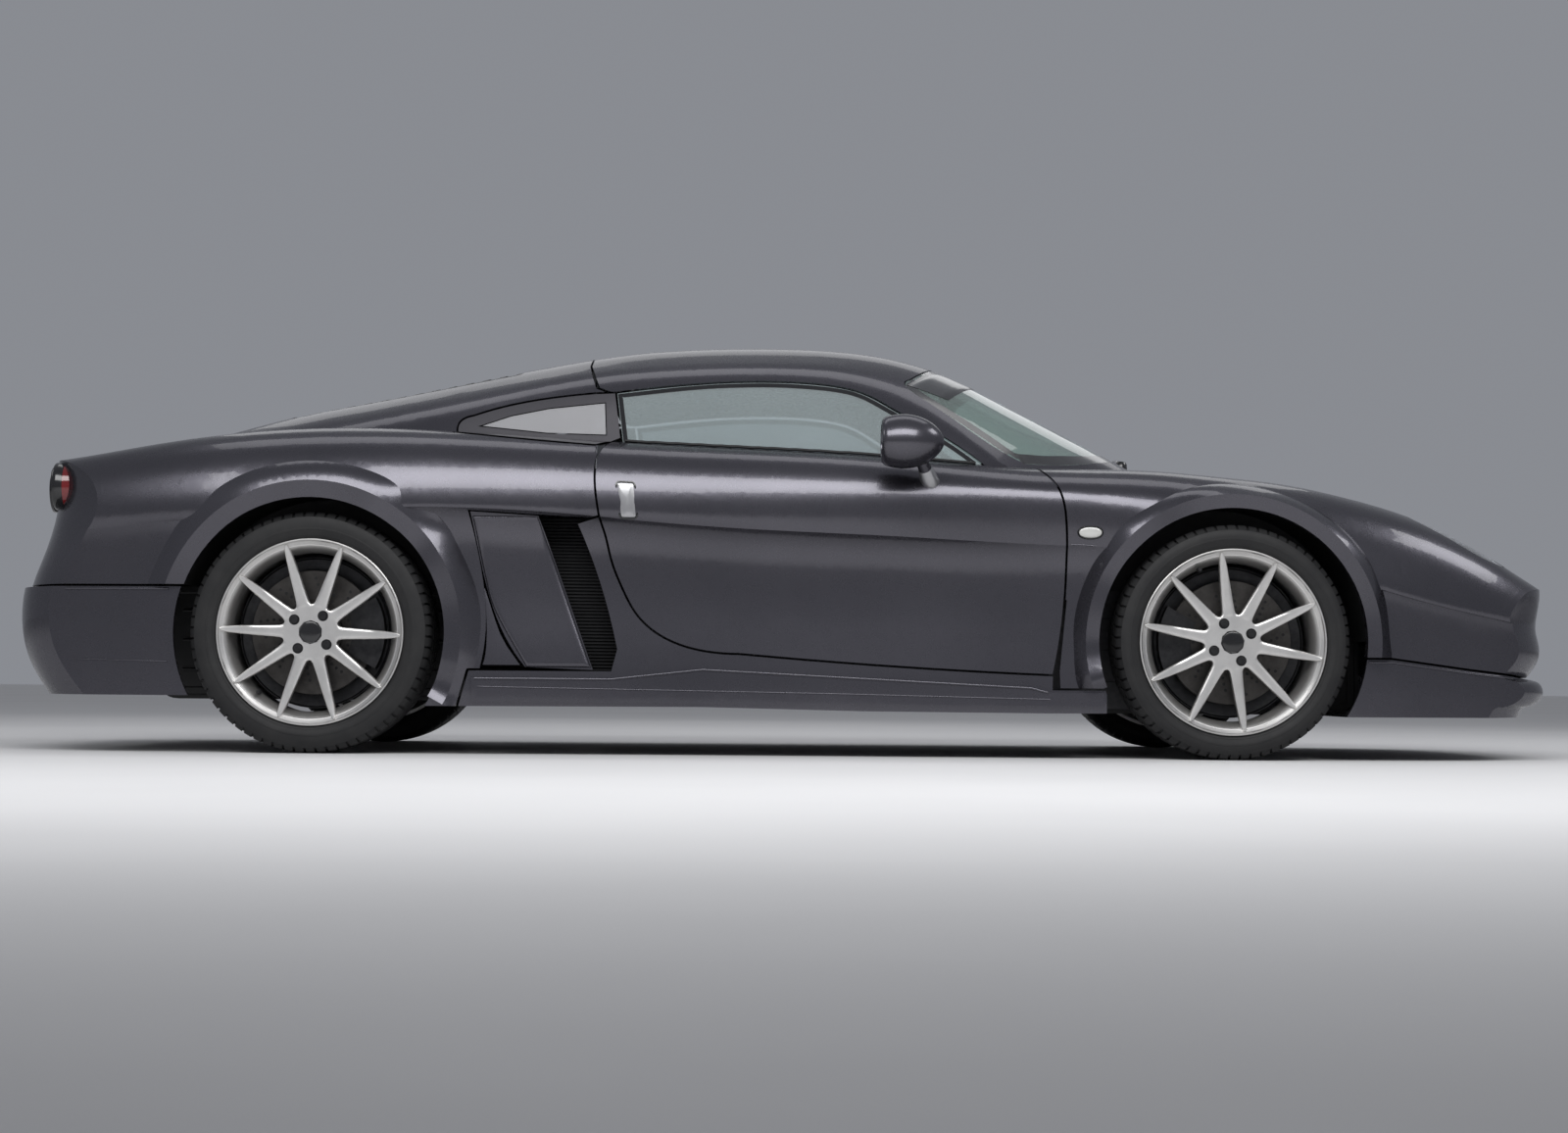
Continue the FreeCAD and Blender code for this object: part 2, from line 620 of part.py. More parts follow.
ALL_Y = (-FAR / 2, FAR / 2)
REAR_CLAM_TIP = (-520.0, -440.0, 804.0, 870.0)
ENGINE_OUTLINE = [
    ((-1120, 290), (-1120, 560), (-1060, 680), (-860, 720), (-760, 640), (-740, 290), (-1120, 290))]
GEARBOX_OUTLINE = [
    ((-1500, 325), (-1490, 440), (-1400, 480), (-1110, 540), (-1110, 325), (-1500, 325))]
SEAT_OUTLINE = [
    [(60, 150.3), (75, 200), (70, 290), (-60, 285), (-200, 262), (-330, 255), (-390, 340),
     (-440, 560), (-480, 780), (-500, 890), (-525, 905), (-536, 860), (-525, 600),
     (-490, 330), (-450, 200), (-420, 150.3)], ((-420, 150.3), (60, 150.3))]
DASH_OUTLINE = [
    ((430, 640), (420, 740), (470, 790), (600, 800), (690, 740), (700, 690), (640, 600), (430, 640))]


def side(runs, grow=0.0):
    return prism("Y", runs, ALL_Y[0], ALL_Y[1], grow)


door_side = side(DOOR_OUTLINE)
door_side_grown = side(DOOR_OUTLINE, PANEL_GAP)
skirt_side = side(SKIRT_OUTLINE)
skirt_side_grown = side(SKIRT_OUTLINE, PANEL_GAP)
quarter_side_grown = side(QUARTER_OUTLINE, PANEL_GAP)
arches = [tube_along_y(ARCH_RADIUS + LIP_OVERLAP, -1200, 1200, x, r)
          for x, r in ((FRONT_X, TYRE_RADIUS_FRONT), (REAR_X, TYRE_RADIUS_REAR))]

nodes = {}


# Wheel arch flares
def section_points(x):
    """Points down the outer skin at one station, from the crest to the sill, as (z, y) pairs."""
    shell, flank = lower_half(x)
    top = spline_edge([Vector(x, y, z) for y, z in shell], shares(shell)).Curve
    low = spline_edge([Vector(x, y, z) for y, z in flank], FLANK_SHARES).Curve
    points = [top.value(0.5 + 0.5 * k / 60) for k in range(61)] + [low.value(k / 40) for k in range(1, 41)]
    return [(p.z, p.y) for p in points]


def skin_y(x, z):
    """Half width of the outer skin at a place on the flank."""
    best = None
    points = section_points(x)
    for (z0, y0), (z1, y1) in zip(points, points[1:]):
        if min(z0, z1) <= z <= max(z0, z1) and z0 != z1:
            y = y0 + (y1 - y0) * (z - z0) / (z1 - z0)
            best = y if best is None else max(best, y)
    return best


def flare(hub_x, hub_z, ridge_radius, crease_radius, depth, start, end):
    """Raised ring round a wheel opening: soft outer slope, ridge and a band turned in to the lip."""
    wires = []
    for k in range(FLARE_SECTIONS):
        angle = math.radians(start + (end - start) * k / (FLARE_SECTIONS - 1))
        along = Vector(math.cos(angle), 0, math.sin(angle))

        def at(radius, y):
            return Vector(hub_x, -y, hub_z) + along * radius

        def skin(radius):
            return skin_y(hub_x + along.x * radius, hub_z + along.z * radius)

        ridge = max(min(skin(ridge_radius) + FLARE_BULGE, WIDTH / 2), WHEEL_FACE_Y + 8)
        middle = 0.5 * (ridge_radius + crease_radius)
        slope = [at(crease_radius + 6, skin(crease_radius + 6) - depth),
                 at(middle, 0.45 * (skin(middle) + ridge) + 0.1 * ridge), at(ridge_radius, ridge)]
        lip = at(ARCH_RADIUS, ridge - 9)
        back = at(ARCH_RADIUS, skin(ARCH_RADIUS + LIP_OVERLAP) - depth)
        wires.append(Part.Wire([
            smooth(slope), Part.makeLine(slope[-1], lip), Part.makeLine(lip, back),
            Part.makeLine(back, slope[0])]))
    return Part.makeLoft(wires, True)


# Clamshells
front_zone = side(FRONT_CLAM_OUTLINE)
cowl_block = prism("Z", COWL_PLAN, 0, 1300, PANEL_GAP)
front_body = body_out.common(front_zone)
front_skin = front_body.cut(body_in).cut(nose_cut)
front_wall = front_body.common(nose_cut_inner).cut(nose_cut)
front_flare = flare(FRONT_X, TYRE_RADIUS_FRONT, FRONT_RIDGE_RADIUS, FRONT_CREASE_RADIUS,
                    FRONT_FLARE_DEPTH, -14, 200)
front_flare = front_flare.common(front_zone)
front_clam = front_skin.fuse(front_wall).cut([cowl_block, arches[0]])
front_clam = front_clam.fuse([front_flare, mirrored(front_flare)]).cut([door_side_grown, skirt_side_grown])
rear_zone = side(REAR_CLAM_OUTLINE)
rear_body = body_out.common(rear_zone)
rear_skin = rear_body.cut(body_in).cut(tail_cut)
rear_wall = rear_body.common(tail_cut_inner).cut(tail_cut)
rear_flare = flare(REAR_X, TYRE_RADIUS_REAR, REAR_RIDGE_RADIUS, REAR_CREASE_RADIUS,
                   REAR_FLARE_DEPTH, -28, 208)
rear_flare = rear_flare.common(rear_zone)
rear_clam = rear_skin.fuse(rear_wall).cut([quarter_side_grown, arches[1]])
tip_x0, tip_x1, tip_z0, tip_z1 = REAR_CLAM_TIP
rear_tip = box(tip_x0, tip_x1, ALL_Y[0], ALL_Y[1], tip_z0, tip_z1)
rear_clam = rear_clam.fuse([rear_flare, mirrored(rear_flare)])
rear_clam = rear_clam.cut([door_side_grown, skirt_side_grown, rear_tip])
tail_lamp_holes = [along_x(TAIL_LAMP_RADIUS + SEAT_GAP, x - 2 * TAIL_LAMP_RADIUS, x + 2 * TAIL_LAMP_RADIUS,
                           sign * y, TAIL_LAMP_Z) for y, x in TAIL_LAMPS for sign in (-1, 1)]
rear_clam = rear_clam.cut(tail_lamp_holes)


def slot_outline(half, low, high):
    """Long opening with bowed ends, in the y-z plane."""
    tall = high - low
    end = [(half, low), (half + 0.27 * tall, low + 0.16 * tall), (half + 0.35 * tall, low + 0.51 * tall),
           (half + 0.27 * tall, high - 0.16 * tall), (half, high)]
    return [((-half, low), (half, low)), end, ((half, high), (-half, high)),
            [(-y, z) for y, z in reversed(end)]]


FRONT_MOUTH = slot_outline(MOUTH_HALF, MOUTH_LOW, MOUTH_HIGH)
REAR_VENT = slot_outline(VENT_HALF, VENT_LOW, VENT_HIGH)
lamp_hole = loop_prism("Z", HEADLAMP_PLAN, *LAMP_ZONE_Z)
mouth = prism("X", FRONT_MOUTH, *NOSE_ZONE_X)
rear_vent = prism("X", REAR_VENT, *TAIL_ZONE_X)
nodes["front_clamshell"] = front_clam.cut([lamp_hole, mirrored(lamp_hole), mouth])
deck_hole = prism("Z", LOUVRE_PLAN, *GREENHOUSE_Z)
nodes["rear_clamshell"] = rear_clam.cut([rear_vent, deck_hole])

# Bumpers, open at the top behind their walls
front_bumper_block = lower_out.common(side(FRONT_BUMPER_OUTLINE)).cut([lip_cut, arches[0]])
front_bumper_hollow = lower_body(BUMPER_WALL).common(box(FRONT_X, NOSE_X, -1000, 1000, 131, 400))
lip_cut_inner = end_cutter(
    full_plan(NOSE_PLAN), lambda z: lip_shift(z) - BUMPER_WALL, LIP_LEVELS, 1)
tow_way = along_x(TOW_HOLE_RADIUS + 6, 2000, 2300, TOW_Y, TOW_Z)
nodes["front_bumper"] = front_bumper_block.cut([front_bumper_hollow.cut(lip_cut_inner), tow_way])
rear_bumper_block = lower_out.common(side(REAR_BUMPER_OUTLINE)).cut([bumper_cut, arches[1]])
rear_bumper_hollow = lower_body(BUMPER_WALL).common(box(TAIL_X, REAR_X, -1000, 1000, 0, 600))
bumper_cut_inner = end_cutter(
    full_plan(TAIL_PLAN), lambda z: bumper_shift(z) + BUMPER_WALL, BUMPER_LEVELS, -1)
pipe_ways = [along_x(PIPE_RADIUS + PANEL_GAP, -2300, -1800, y, PIPE_Z) for y in PIPE_Y]
nodes["rear_bumper"] = rear_bumper_block.cut([rear_bumper_hollow.cut(bumper_cut_inner)] + pipe_ways)

# Doors: a full-depth shell whose inner part is set back at the rear, so that it swings clear
door_zone = door_side.common(prism("X", DOOR_INNER, -800, 1000))
door = lower_out.common(door_zone)
door_step = lower_body(DOOR_SHELL).common(box(-700, -515 + 2.6 * DOOR_REAR_STEP, -1000, 0, 0, 1000))
door = door.cut(door_step)
nodes["door_right"] = door
nodes["door_left"] = mirrored(door)

# Sill skirts with the panel behind the door
skirt_zone = skirt_side.common(box(-1000, 1000, -1000, -770, 0, 700)).cut(door_side_grown)
skirt = lower_out.common(skirt_zone).cut(arches)
skirt = skirt.fuse(box(-840, -440, -779, -770, 222, 632))
sill_step = lower_body(-SILL_STEP).cut(lower_body(2.0)).common(side(SILL_STEP_OUTLINE))
skirt = skirt.fuse(sill_step.common(box(-1000, 1000, -1000, 0, 0, 700)).cut(arches))
nodes["side_skirts"] = pair(skirt)

# Cabin shell and glazing
roof_in = greenhouse(ROOF_THICKNESS)
cabin_zone = side(CABIN_OUTLINE).common(prism("Z", COWL_PLAN, 0, 1300))
door_glass_side = side(DOOR_GLASS_OUTLINE)
screen_block = prism("Z", SCREEN_PLAN, *SCREEN_Z)
screen_hole = prism("Z", SCREEN_PLAN, SCREEN_Z[0], SCREEN_Z[1], -SCREEN_LAP)
glass_out = greenhouse(GLASS_DEPTH)
glass_in = greenhouse(GLASS_DEPTH + GLASS_THICKNESS)
seat_in = greenhouse(GLASS_DEPTH + GLASS_THICKNESS + 1.0)
screen_seat = screen_block.cut(seat_in)
door_keepout = door_side_grown.common(box(-800, 1000, -1000, -706, 0, 1000))
cabin = cabin_out.common(cabin_zone).cut(roof_in)
cabin = cabin.cut([side(DOOR_GLASS_OUTLINE, PANEL_GAP), quarter_side_grown, screen_hole, screen_seat,
                   door_keepout, mirrored(door_keepout)])
nodes["cabin_shell"] = cabin
glass_layer = glass_out.cut(glass_in)
nodes["windscreen"] = glass_layer.common(prism("Z", SCREEN_PLAN, SCREEN_Z[0], SCREEN_Z[1], -GLASS_GAP))
lower_raised = lower_out.copy()
lower_raised.translate(Vector(0, 0, 2 * SEAT_GAP))
door_glass = glass_layer.common(door_glass_side).cut(lower_raised)
door_glass_right = door_glass.common(box(-1000, 1000, -1000, 0, 0, 1300))
nodes["door_glass_right"] = door_glass_right
nodes["door_glass_left"] = mirrored(door_glass_right)

# Quarter panels with their small windows
quarter_zone = side(QUARTER_OUTLINE).common(box(-1000, -400, -1000, -400, 700, 1100))
quarter = body_out.common(quarter_zone).cut(body_in)
quarter_pane = quarter.common(side(QUARTER_GLASS, -GLASS_GAP))
quarter = quarter.cut(side(QUARTER_GLASS))
nodes["quarter_panels"] = pair(quarter)

# Blades in the side intakes
blade_layer = lower_body(BLADE_DEPTH).cut(lower_body(BLADE_DEPTH + BLADE_THICKNESS))
nodes["side_blades"] = blade_layer.common(side(BLADE_OUTLINE))

# Wheel arch liners, carried by the clamshells
for name, hub_x, radius, inner_y, lip, low in (
        ("front", FRONT_X, TYRE_RADIUS_FRONT, FRONT_LINER_INNER_Y, front_flare, 0.0),
        ("rear", REAR_X, TYRE_RADIUS_REAR, REAR_LINER_INNER_Y, rear_flare, REAR_LINER_LOW)):
    outer_radius = LINER_RADIUS + LINER_THICKNESS
    first_x, last_x = hub_x - LINER_HALF_LENGTH, hub_x + LINER_HALF_LENGTH
    ring = tube_along_y(outer_radius, LINER_OUTER_Y, inner_y, hub_x, radius, LINER_RADIUS)
    ring = ring.common(box(first_x, last_x, ALL_Y[0], 0, radius + PANEL_GAP, HEIGHT))
    wall = tube_along_y(outer_radius, inner_y - LINER_THICKNESS, inner_y, hub_x, radius)
    ring = ring.fuse(wall.common(box(first_x, last_x, ALL_Y[0], 0, radius + LINER_WALL_RISE, HEIGHT)))
    moved = lip.copy()
    moved.translate(Vector(0, 2 * LINER_GAP, 0))
    ring = ring.common(lower_body(SKIN + LINER_GAP)).cut([lip, moved])
    if low:
        ring = ring.cut(box(first_x, hub_x, ALL_Y[0], 0, 0, low))
    nodes[name + "_arch_liners"] = pair(ring)

# Round tail lamps
lamps = []
for y, x in TAIL_LAMPS:
    for sign in (-1, 1):
        lens = along_x(TAIL_LAMP_RADIUS, x, x + TAIL_LAMP_DEPTH, sign * y, TAIL_LAMP_Z)
        dome_middle = Vector(x + TAIL_LAMP_DOME - TAIL_LAMP_BULGE, sign * y, TAIL_LAMP_Z)
        dome = Part.makeSphere(TAIL_LAMP_DOME, dome_middle).common(
            along_x(TAIL_LAMP_RADIUS, x - TAIL_LAMP_RADIUS, x + LAMP_RIM, sign * y, TAIL_LAMP_Z))
        lamps.append(fused([lens, dome]))
nodes["tail_lamps"] = Part.makeCompound(lamps)


# Headlamps: a cup under the skin with a rim for the cover and two projectors inside
under_skin = lower_body(SKIN + 2 * SEAT_GAP)
under_cover = lower_body(LAMP_COVER_DEPTH + LAMP_COVER + SEAT_GAP)
lamp_top = LAMP_ZONE_Z[1]
cup = under_skin.common(loop_prism("Z", HEADLAMP_PLAN, LAMP_FLOOR_Z, lamp_top, LAMP_FLANGE))
cup = cup.fuse(under_cover.common(loop_prism("Z", HEADLAMP_PLAN, LAMP_FLOOR_Z, lamp_top, -1.0)))
cup = cup.cut(loop_prism("Z", HEADLAMP_PLAN, LAMP_FLOOR_Z + LAMP_FLOOR, lamp_top, -LAMP_RIM))
cup = cup.cut(end_cutter(full_plan(NOSE_PLAN), lambda z: nose_shift(z) - SKIN - SEAT_GAP, NOSE_LEVELS, 1))


def projector(x, y, z):
    """Lamp barrel with a domed lens, standing on the floor of its cup."""
    barrel = along_x(PROJECTOR_RADIUS, x - PROJECTOR_LENGTH + LENS_INSET, x + LENS_INSET, y, z)
    dome = Part.makeSphere(LENS_DOME, Vector(x - PANEL_GAP, y, z))
    lens = dome.common(along_x(PROJECTOR_RADIUS - LAMP_FLOOR, x + LENS_INSET / 2, x + PROJECTOR_LENGTH, y, z))
    foot = box(x - FOOT_HALF, x + FOOT_HALF, y - FOOT_HALF, y + FOOT_HALF, LAMP_FLOOR_Z + 1, z)
    return fused([barrel, lens, foot])


nodes["headlamps"] = pair(fused([cup] + [projector(*place) for place in PROJECTORS]))
cover_layer = lower_body(LAMP_COVER_DEPTH).cut(lower_body(LAMP_COVER_DEPTH + LAMP_COVER))
lamp_cover = cover_layer.common(loop_prism("Z", HEADLAMP_PLAN, LAMP_ZONE_Z[0], lamp_top, -GLASS_GAP))

# Clear covers of the headlamps and of the oval side lamps on the front wings
repeater = lower_body(-REPEATER_RISE).cut(lower_body(-SEAT_GAP))
repeater = repeater.common(loop_prism("Y", REPEATER_OUTLINE, ALL_Y[0], 0))
nodes["lamp_lenses"] = Part.makeCompound([pair(lamp_cover), pair(repeater)])


def end_face(plan, shift, levels, sign, depth):
    return end_cutter(full_plan(plan), lambda z: shift(z) - sign * depth, levels, sign)


def grille(near, far, opening, half, low, high, rows, zone_x):
    """Curved panel behind an opening in an end face, pierced by rows of slots."""
    panel = prism("X", opening, zone_x[0], zone_x[1], GRILLE_FLANGE).common(far).cut(near)
    slots = []
    wide = 2 * half / GRILLE_COLUMNS
    tall = (high - low) / rows
    for row in range(rows):
        for column in range(GRILLE_COLUMNS):
            y = -half + column * wide
            z = low + row * tall
            slots.append(box(zone_x[0], zone_x[1], y + GRILLE_BAR, y + wide - GRILLE_BAR,
                             z + GRILLE_BAR, z + tall - GRILLE_BAR))
    return panel.cut(slots)


grille_depths = (SKIN + 2 * SEAT_GAP, SKIN + 2 * SEAT_GAP + GRILLE_DEPTH)
nose_near, nose_far = [end_face(NOSE_PLAN, nose_shift, NOSE_LEVELS, 1, depth) for depth in grille_depths]
nodes["front_grille"] = grille(nose_near, nose_far, FRONT_MOUTH, MOUTH_HALF, MOUTH_LOW, MOUTH_HIGH,
                               FRONT_GRILLE_ROWS, NOSE_ZONE_X)
tail_near, tail_far = [end_face(TAIL_PLAN, tail_shift, TAIL_LEVELS, -1, depth) for depth in grille_depths]
tail_grille = grille(tail_near, tail_far, REAR_VENT, VENT_HALF, VENT_LOW, VENT_HIGH,
                     REAR_GRILLE_ROWS, TAIL_ZONE_X)

# Louvred panel in the engine deck, seated under the clamshell's skin
under_deck = greenhouse(SKIN + 2 * SEAT_GAP)
louvres = greenhouse(LOUVRE_SINK).common(prism("Z", LOUVRE_PLAN, GREENHOUSE_Z[0], GREENHOUSE_Z[1], -GLASS_GAP))
louvres = louvres.fuse(under_deck.common(prism("Z", LOUVRE_PLAN, GREENHOUSE_Z[0], GREENHOUSE_Z[1], GRILLE_FLANGE)))
louvres = louvres.cut(greenhouse(SKIN + SEAT_GAP + GRILLE_DEPTH))
pitch = (LOUVRE_ENDS[1] - LOUVRE_ENDS[0]) / LOUVRE_COUNT
slots = []
for k in range(LOUVRE_COUNT):
    x = LOUVRE_ENDS[0] + k * pitch + LOUVRE_BAR / 2
    half = LOUVRE_HALF[0] + (LOUVRE_HALF[1] - LOUVRE_HALF[0]) * k / LOUVRE_COUNT
    slots.append(box(x, x + pitch - LOUVRE_BAR, -half, half, *GREENHOUSE_Z))
nodes["rear_grilles"] = Part.makeCompound([tail_grille, louvres.cut(slots)])


# Wheels, drawn with the outer face at y = 0, the hub on the y axis and inboard towards +y
def turned(profile, axis_x=0.0, axis_z=0.0):
    """Ring turned about the y axis from (radius, y) points."""
    points = [Vector(axis_x + r, y, axis_z) for r, y in profile]
    wire = Part.makePolygon(points + [points[0]])
    return Part.Face(wire).revolve(Vector(axis_x, 0, axis_z), Vector(0, 1, 0), 360)


def tyre(radius, width):
    half = [(RIM_SEAT_RADIUS + SEAT_GAP, 20), (RIM_LIP_RADIUS + 2, 18), (RIM_LIP_RADIUS + 34, 0),
            (radius - 14, 9), (radius, 38)]
    return turned(half + [(r, width - y) for r, y in reversed(half)])


def spoke(angle):
    """Straight tapered spoke with chamfered front edges."""
    wires = []
    for radius, wide, front, depth in ((HUB_RADIUS - 14, 31, 19, 34), (214, 11, 30, 22)):
        chamfer = 0.22 * wide
        section = [(-wide / 2, front + chamfer), (-wide / 2 + chamfer, front), (wide / 2 - chamfer, front),
                   (wide / 2, front + chamfer), (wide / 2, front + depth), (-wide / 2, front + depth)]
        points = [Vector(radius, y, t) for t, y in section]
        wires.append(Part.makePolygon(points + [points[0]]))
    arm = Part.makeLoft(wires, True, True)
    arm.rotate(Vector(0, 0, 0), Vector(0, 1, 0), -angle)
    return arm


def rim(width, spoke_angle, lug_angle):
    barrel = turned([
        (RIM_LIP_RADIUS, 6), (RIM_LIP_RADIUS, 12), (RIM_SEAT_RADIUS, 17), (RIM_SEAT_RADIUS, width - 17),
        (RIM_LIP_RADIUS, width - 12), (RIM_LIP_RADIUS, width - 6), (238, width - 6),
        (RIM_BARREL_RADIUS, width - 34), (RIM_BARREL_RADIUS, 60), (206, 48), (206, 34), (238, 10), (243, 6)])
    hub = turned([
        (STUB_RADIUS + RUNNING_CLEARANCE, 60), (HUB_RADIUS - 6, 60), (HUB_RADIUS, 30), (HUB_RADIUS - 8, 21),
        (44, 26), (CAP_RADIUS + 4, 24), (CAP_RADIUS, 16), (CAP_RADIUS - 6, 13), (0, 13), (0, 40),
        (STUB_RADIUS + RUNNING_CLEARANCE, 40)])
    spokes = [spoke(spoke_angle + k * 360.0 / SPOKES) for k in range(SPOKES)]
    lugs = []
    for k in range(LUGS):
        angle = math.radians(lug_angle + k * 360.0 / LUGS)
        x, z = LUG_PITCH_RADIUS * math.cos(angle), LUG_PITCH_RADIUS * math.sin(angle)
        lugs.append(Part.makeCone(7.5, 9.5, 24, Vector(x, 12, z), Vector(0, 1, 0)))
    return fused([barrel, hub] + spokes + lugs)


def brake_disc():
    """Brake disc with its hat, bored for the stub axle."""
    return turned([
        (STUB_RADIUS + RUNNING_CLEARANCE, 60), (74, 60), (80, 66), (80, 88), (DISC_RADIUS, 88),
        (DISC_RADIUS, 88 + DISC_THICKNESS), (60, 88 + DISC_THICKNESS), (60, 80),
        (STUB_RADIUS + RUNNING_CLEARANCE, 80)])


def carrier(caliper_side):
    """Upright with its stub axle, kingpin post and brake caliper."""
    post_y = WHEEL_FACE_Y - KINGPIN_Y
    post = Part.makeCylinder(24, 2 * POST_HALF, Vector(0, post_y, -POST_HALF), Vector(0, 0, 1))
    pins = Part.makeCylinder(PIN_RADIUS, 2 * POST_HALF + 40, Vector(0, post_y, -POST_HALF - 20), Vector(0, 0, 1))
    bearing = Part.makeCylinder(46, 56, Vector(0, 118, 0), Vector(0, 1, 0))
    stub = Part.makeCylinder(STUB_RADIUS, 100, Vector(0, 42, 0), Vector(0, 1, 0))
    ring = tube_along_y(CALIPER_RADIUS, 74, 126, 0, 0, 104)
    pocket = tube_along_y(DISC_RADIUS + 6, 88 - 5, 88 + DISC_THICKNESS + 5, 0, 0)
    wedge = Part.makePolygon([Vector(0, 70, 0), Vector(260, 70, -150), Vector(260, 70, 150), Vector(0, 70, 0)])
    sector = Part.Face(wedge).extrude(Vector(0, 60, 0))
    caliper = ring.common(sector).cut(pocket)
    bracket = box(20, 150, 119, 140, -30, 30)
    if caliper_side < 0:
        caliper = caliper.mirror(Vector(0, 0, 0), Vector(1, 0, 0))
        bracket = bracket.mirror(Vector(0, 0, 0), Vector(1, 0, 0))
    return fused([post, pins, bearing, stub, caliper, bracket])


def at_wheel(shape, hub_x, hub_z):
    """Puts a wheel-frame shape at the right-hand wheel."""
    moved = shape.copy()
    moved.translate(Vector(hub_x, -WHEEL_FACE_Y, hub_z))
    return moved


def wishbones(hub_x, hub_z, inner_y, spread, outer_eye):
    """Upper and lower tubular wishbones, each with an eye round the kingpin."""
    parts = []
    for sign in (-1, 1):
        eye_z = hub_z + sign * (POST_HALF + 10.5)
        low = eye_z - 10
        eye = Part.makeCylinder(27, 20, Vector(hub_x, -KINGPIN_Y, low), Vector(0, 0, 1))
        arms = [rod((hub_x + way * spread, -inner_y, eye_z - sign * 18),
                    (hub_x + way * 10, -KINGPIN_Y + 14, eye_z), ARM_RADIUS) for way in (-1, 1)]
        bone = fused([eye] + arms)
        bore = Part.makeCylinder(outer_eye, 60, Vector(hub_x, -KINGPIN_Y, eye_z - 30), Vector(0, 0, 1))
        parts.append(bone.cut(bore))
    return parts


for end, hub_x, radius, width, spoke_angle, lug_angle, caliper_side in (
        ("front", FRONT_X, TYRE_RADIUS_FRONT, TYRE_WIDTH_FRONT, 25.5, 25.0, -1),
        ("rear", REAR_X, TYRE_RADIUS_REAR, TYRE_WIDTH_REAR, -1.8, 52.7, 1)):
    shapes = {
        "tyre": tyre(radius, width), "rim": rim(width, spoke_angle, lug_angle), "brake_disc": brake_disc()}
    if end == "front":
        shapes["upright"] = carrier(caliper_side)
    for name, shape in shapes.items():
        right = at_wheel(shape, hub_x, radius)
        nodes[end + "_" + name + "_right"] = right
        nodes[end + "_" + name + "_left"] = mirrored(right)

# Chassis tub: floor, box sills, bulkheads, tunnel and foot well
floor_top = FLOOR_Z + TUB_SHEET
sill = prism("X", [(
    (-TUB_HALF, floor_top), (-TUB_HALF, SILL_TOP - SILL_CHAMFER), (-TUB_HALF + SILL_CHAMFER, SILL_TOP),
    (-SILL_INNER_Y - TUB_SHEET, SILL_TOP), (-SILL_INNER_Y, SILL_TOP - SILL_CHAMFER),
    (-SILL_INNER_Y, floor_top), (-TUB_HALF, floor_top))], TUB_REAR_X, TUB_FRONT_X)
floor = box(TUB_REAR_X, TUB_FRONT_X, -TUB_HALF, TUB_HALF, FLOOR_Z, floor_top)
foot_floor = box(TUB_FRONT_X, FOOT_WELL_X, -FOOT_WELL_HALF, FOOT_WELL_HALF, FLOOR_Z, floor_top)
foot_front = box(FOOT_WELL_X - TUB_SHEET, FOOT_WELL_X, -FOOT_WELL_HALF, FOOT_WELL_HALF, floor_top, FOOT_WELL_TOP)
foot_side = box(TUB_FRONT_X, FOOT_WELL_X, -FOOT_WELL_HALF, -FOOT_WELL_HALF + TUB_SHEET, floor_top, FOOT_WELL_TOP)
foot_rear = box(TUB_FRONT_X - TUB_SHEET, TUB_FRONT_X, -SILL_INNER_Y, -FOOT_WELL_HALF + TUB_SHEET,
                floor_top, FOOT_WELL_TOP)
tunnel = prism("X", [(
    (-TUNNEL_HALF, floor_top), (-TUNNEL_TOP_HALF, TUNNEL_TOP), (TUNNEL_TOP_HALF, TUNNEL_TOP),
    (TUNNEL_HALF, floor_top), (-TUNNEL_HALF, floor_top))], TUB_REAR_X, FOOT_WELL_X)


def rear_window_outline(margin):
    (low_y, low_z), (high_y, high_z) = REAR_WINDOW_LOW, REAR_WINDOW_HIGH
    half = [(low_y + margin, low_z - margin), (high_y + 0.86 * margin, high_z + margin),
            (0, REAR_WINDOW_TOP + margin)]
    ring = [(-y, z) for y, z in half] + half[1::-1] + [(-half[0][0], half[0][1])]
    return [tuple(ring)]


bulkhead_x = TUB_REAR_X - BULKHEAD_GAP
bulkhead_space = greenhouse(ROOF_THICKNESS + BULKHEAD_GAP).fuse(lower_body(ROOF_THICKNESS + BULKHEAD_GAP + 2))
bulkhead = body_in.common(bulkhead_space).common(
    box(bulkhead_x, bulkhead_x + BULKHEAD_THICKNESS, -716, 716, floor_top, GREENHOUSE_Z[1]))
window_hole = prism("X", rear_window_outline(0), 2 * TUB_REAR_X, 0)
window_seat = prism("X", rear_window_outline(REAR_WINDOW_LAP + GLASS_GAP), TUB_REAR_X - 2, 0)
bulkhead = bulkhead.cut([window_hole, window_seat])
nodes["chassis_tub"] = fused([
    floor, foot_floor, sill, mirrored(sill), foot_side, mirrored(foot_side), foot_front, foot_rear,
    mirrored(foot_rear), tunnel, bulkhead])
rear_pane = prism("X", rear_window_outline(REAR_WINDOW_LAP), TUB_REAR_X - 2 + SEAT_GAP,
                  TUB_REAR_X - 2 + SEAT_GAP + GLASS_THICKNESS)
nodes["rear_windows"] = Part.makeCompound([pair(quarter_pane), rear_pane])


# Front and rear subframes with the suspension
def frame_side(hub_x, x0, x1, rail_y, spread, low, high):
    """One long rail with the two posts that carry the wishbones."""
    rail = box(x0, x1, -rail_y - RAIL_WIDTH, -rail_y, RAIL_LOW, RAIL_HIGH)
    posts = [box(hub_x + way * spread - TOWER_HALF, hub_x + way * spread + TOWER_HALF,
                 -rail_y - 1.5 * RAIL_WIDTH, -rail_y - 0.5 * RAIL_WIDTH, low, high) for way in (-1, 1)]
    return [rail] + posts


def cross_member(x, width, half, low, high):
    return box(x, x + width, -half, half, low, high)


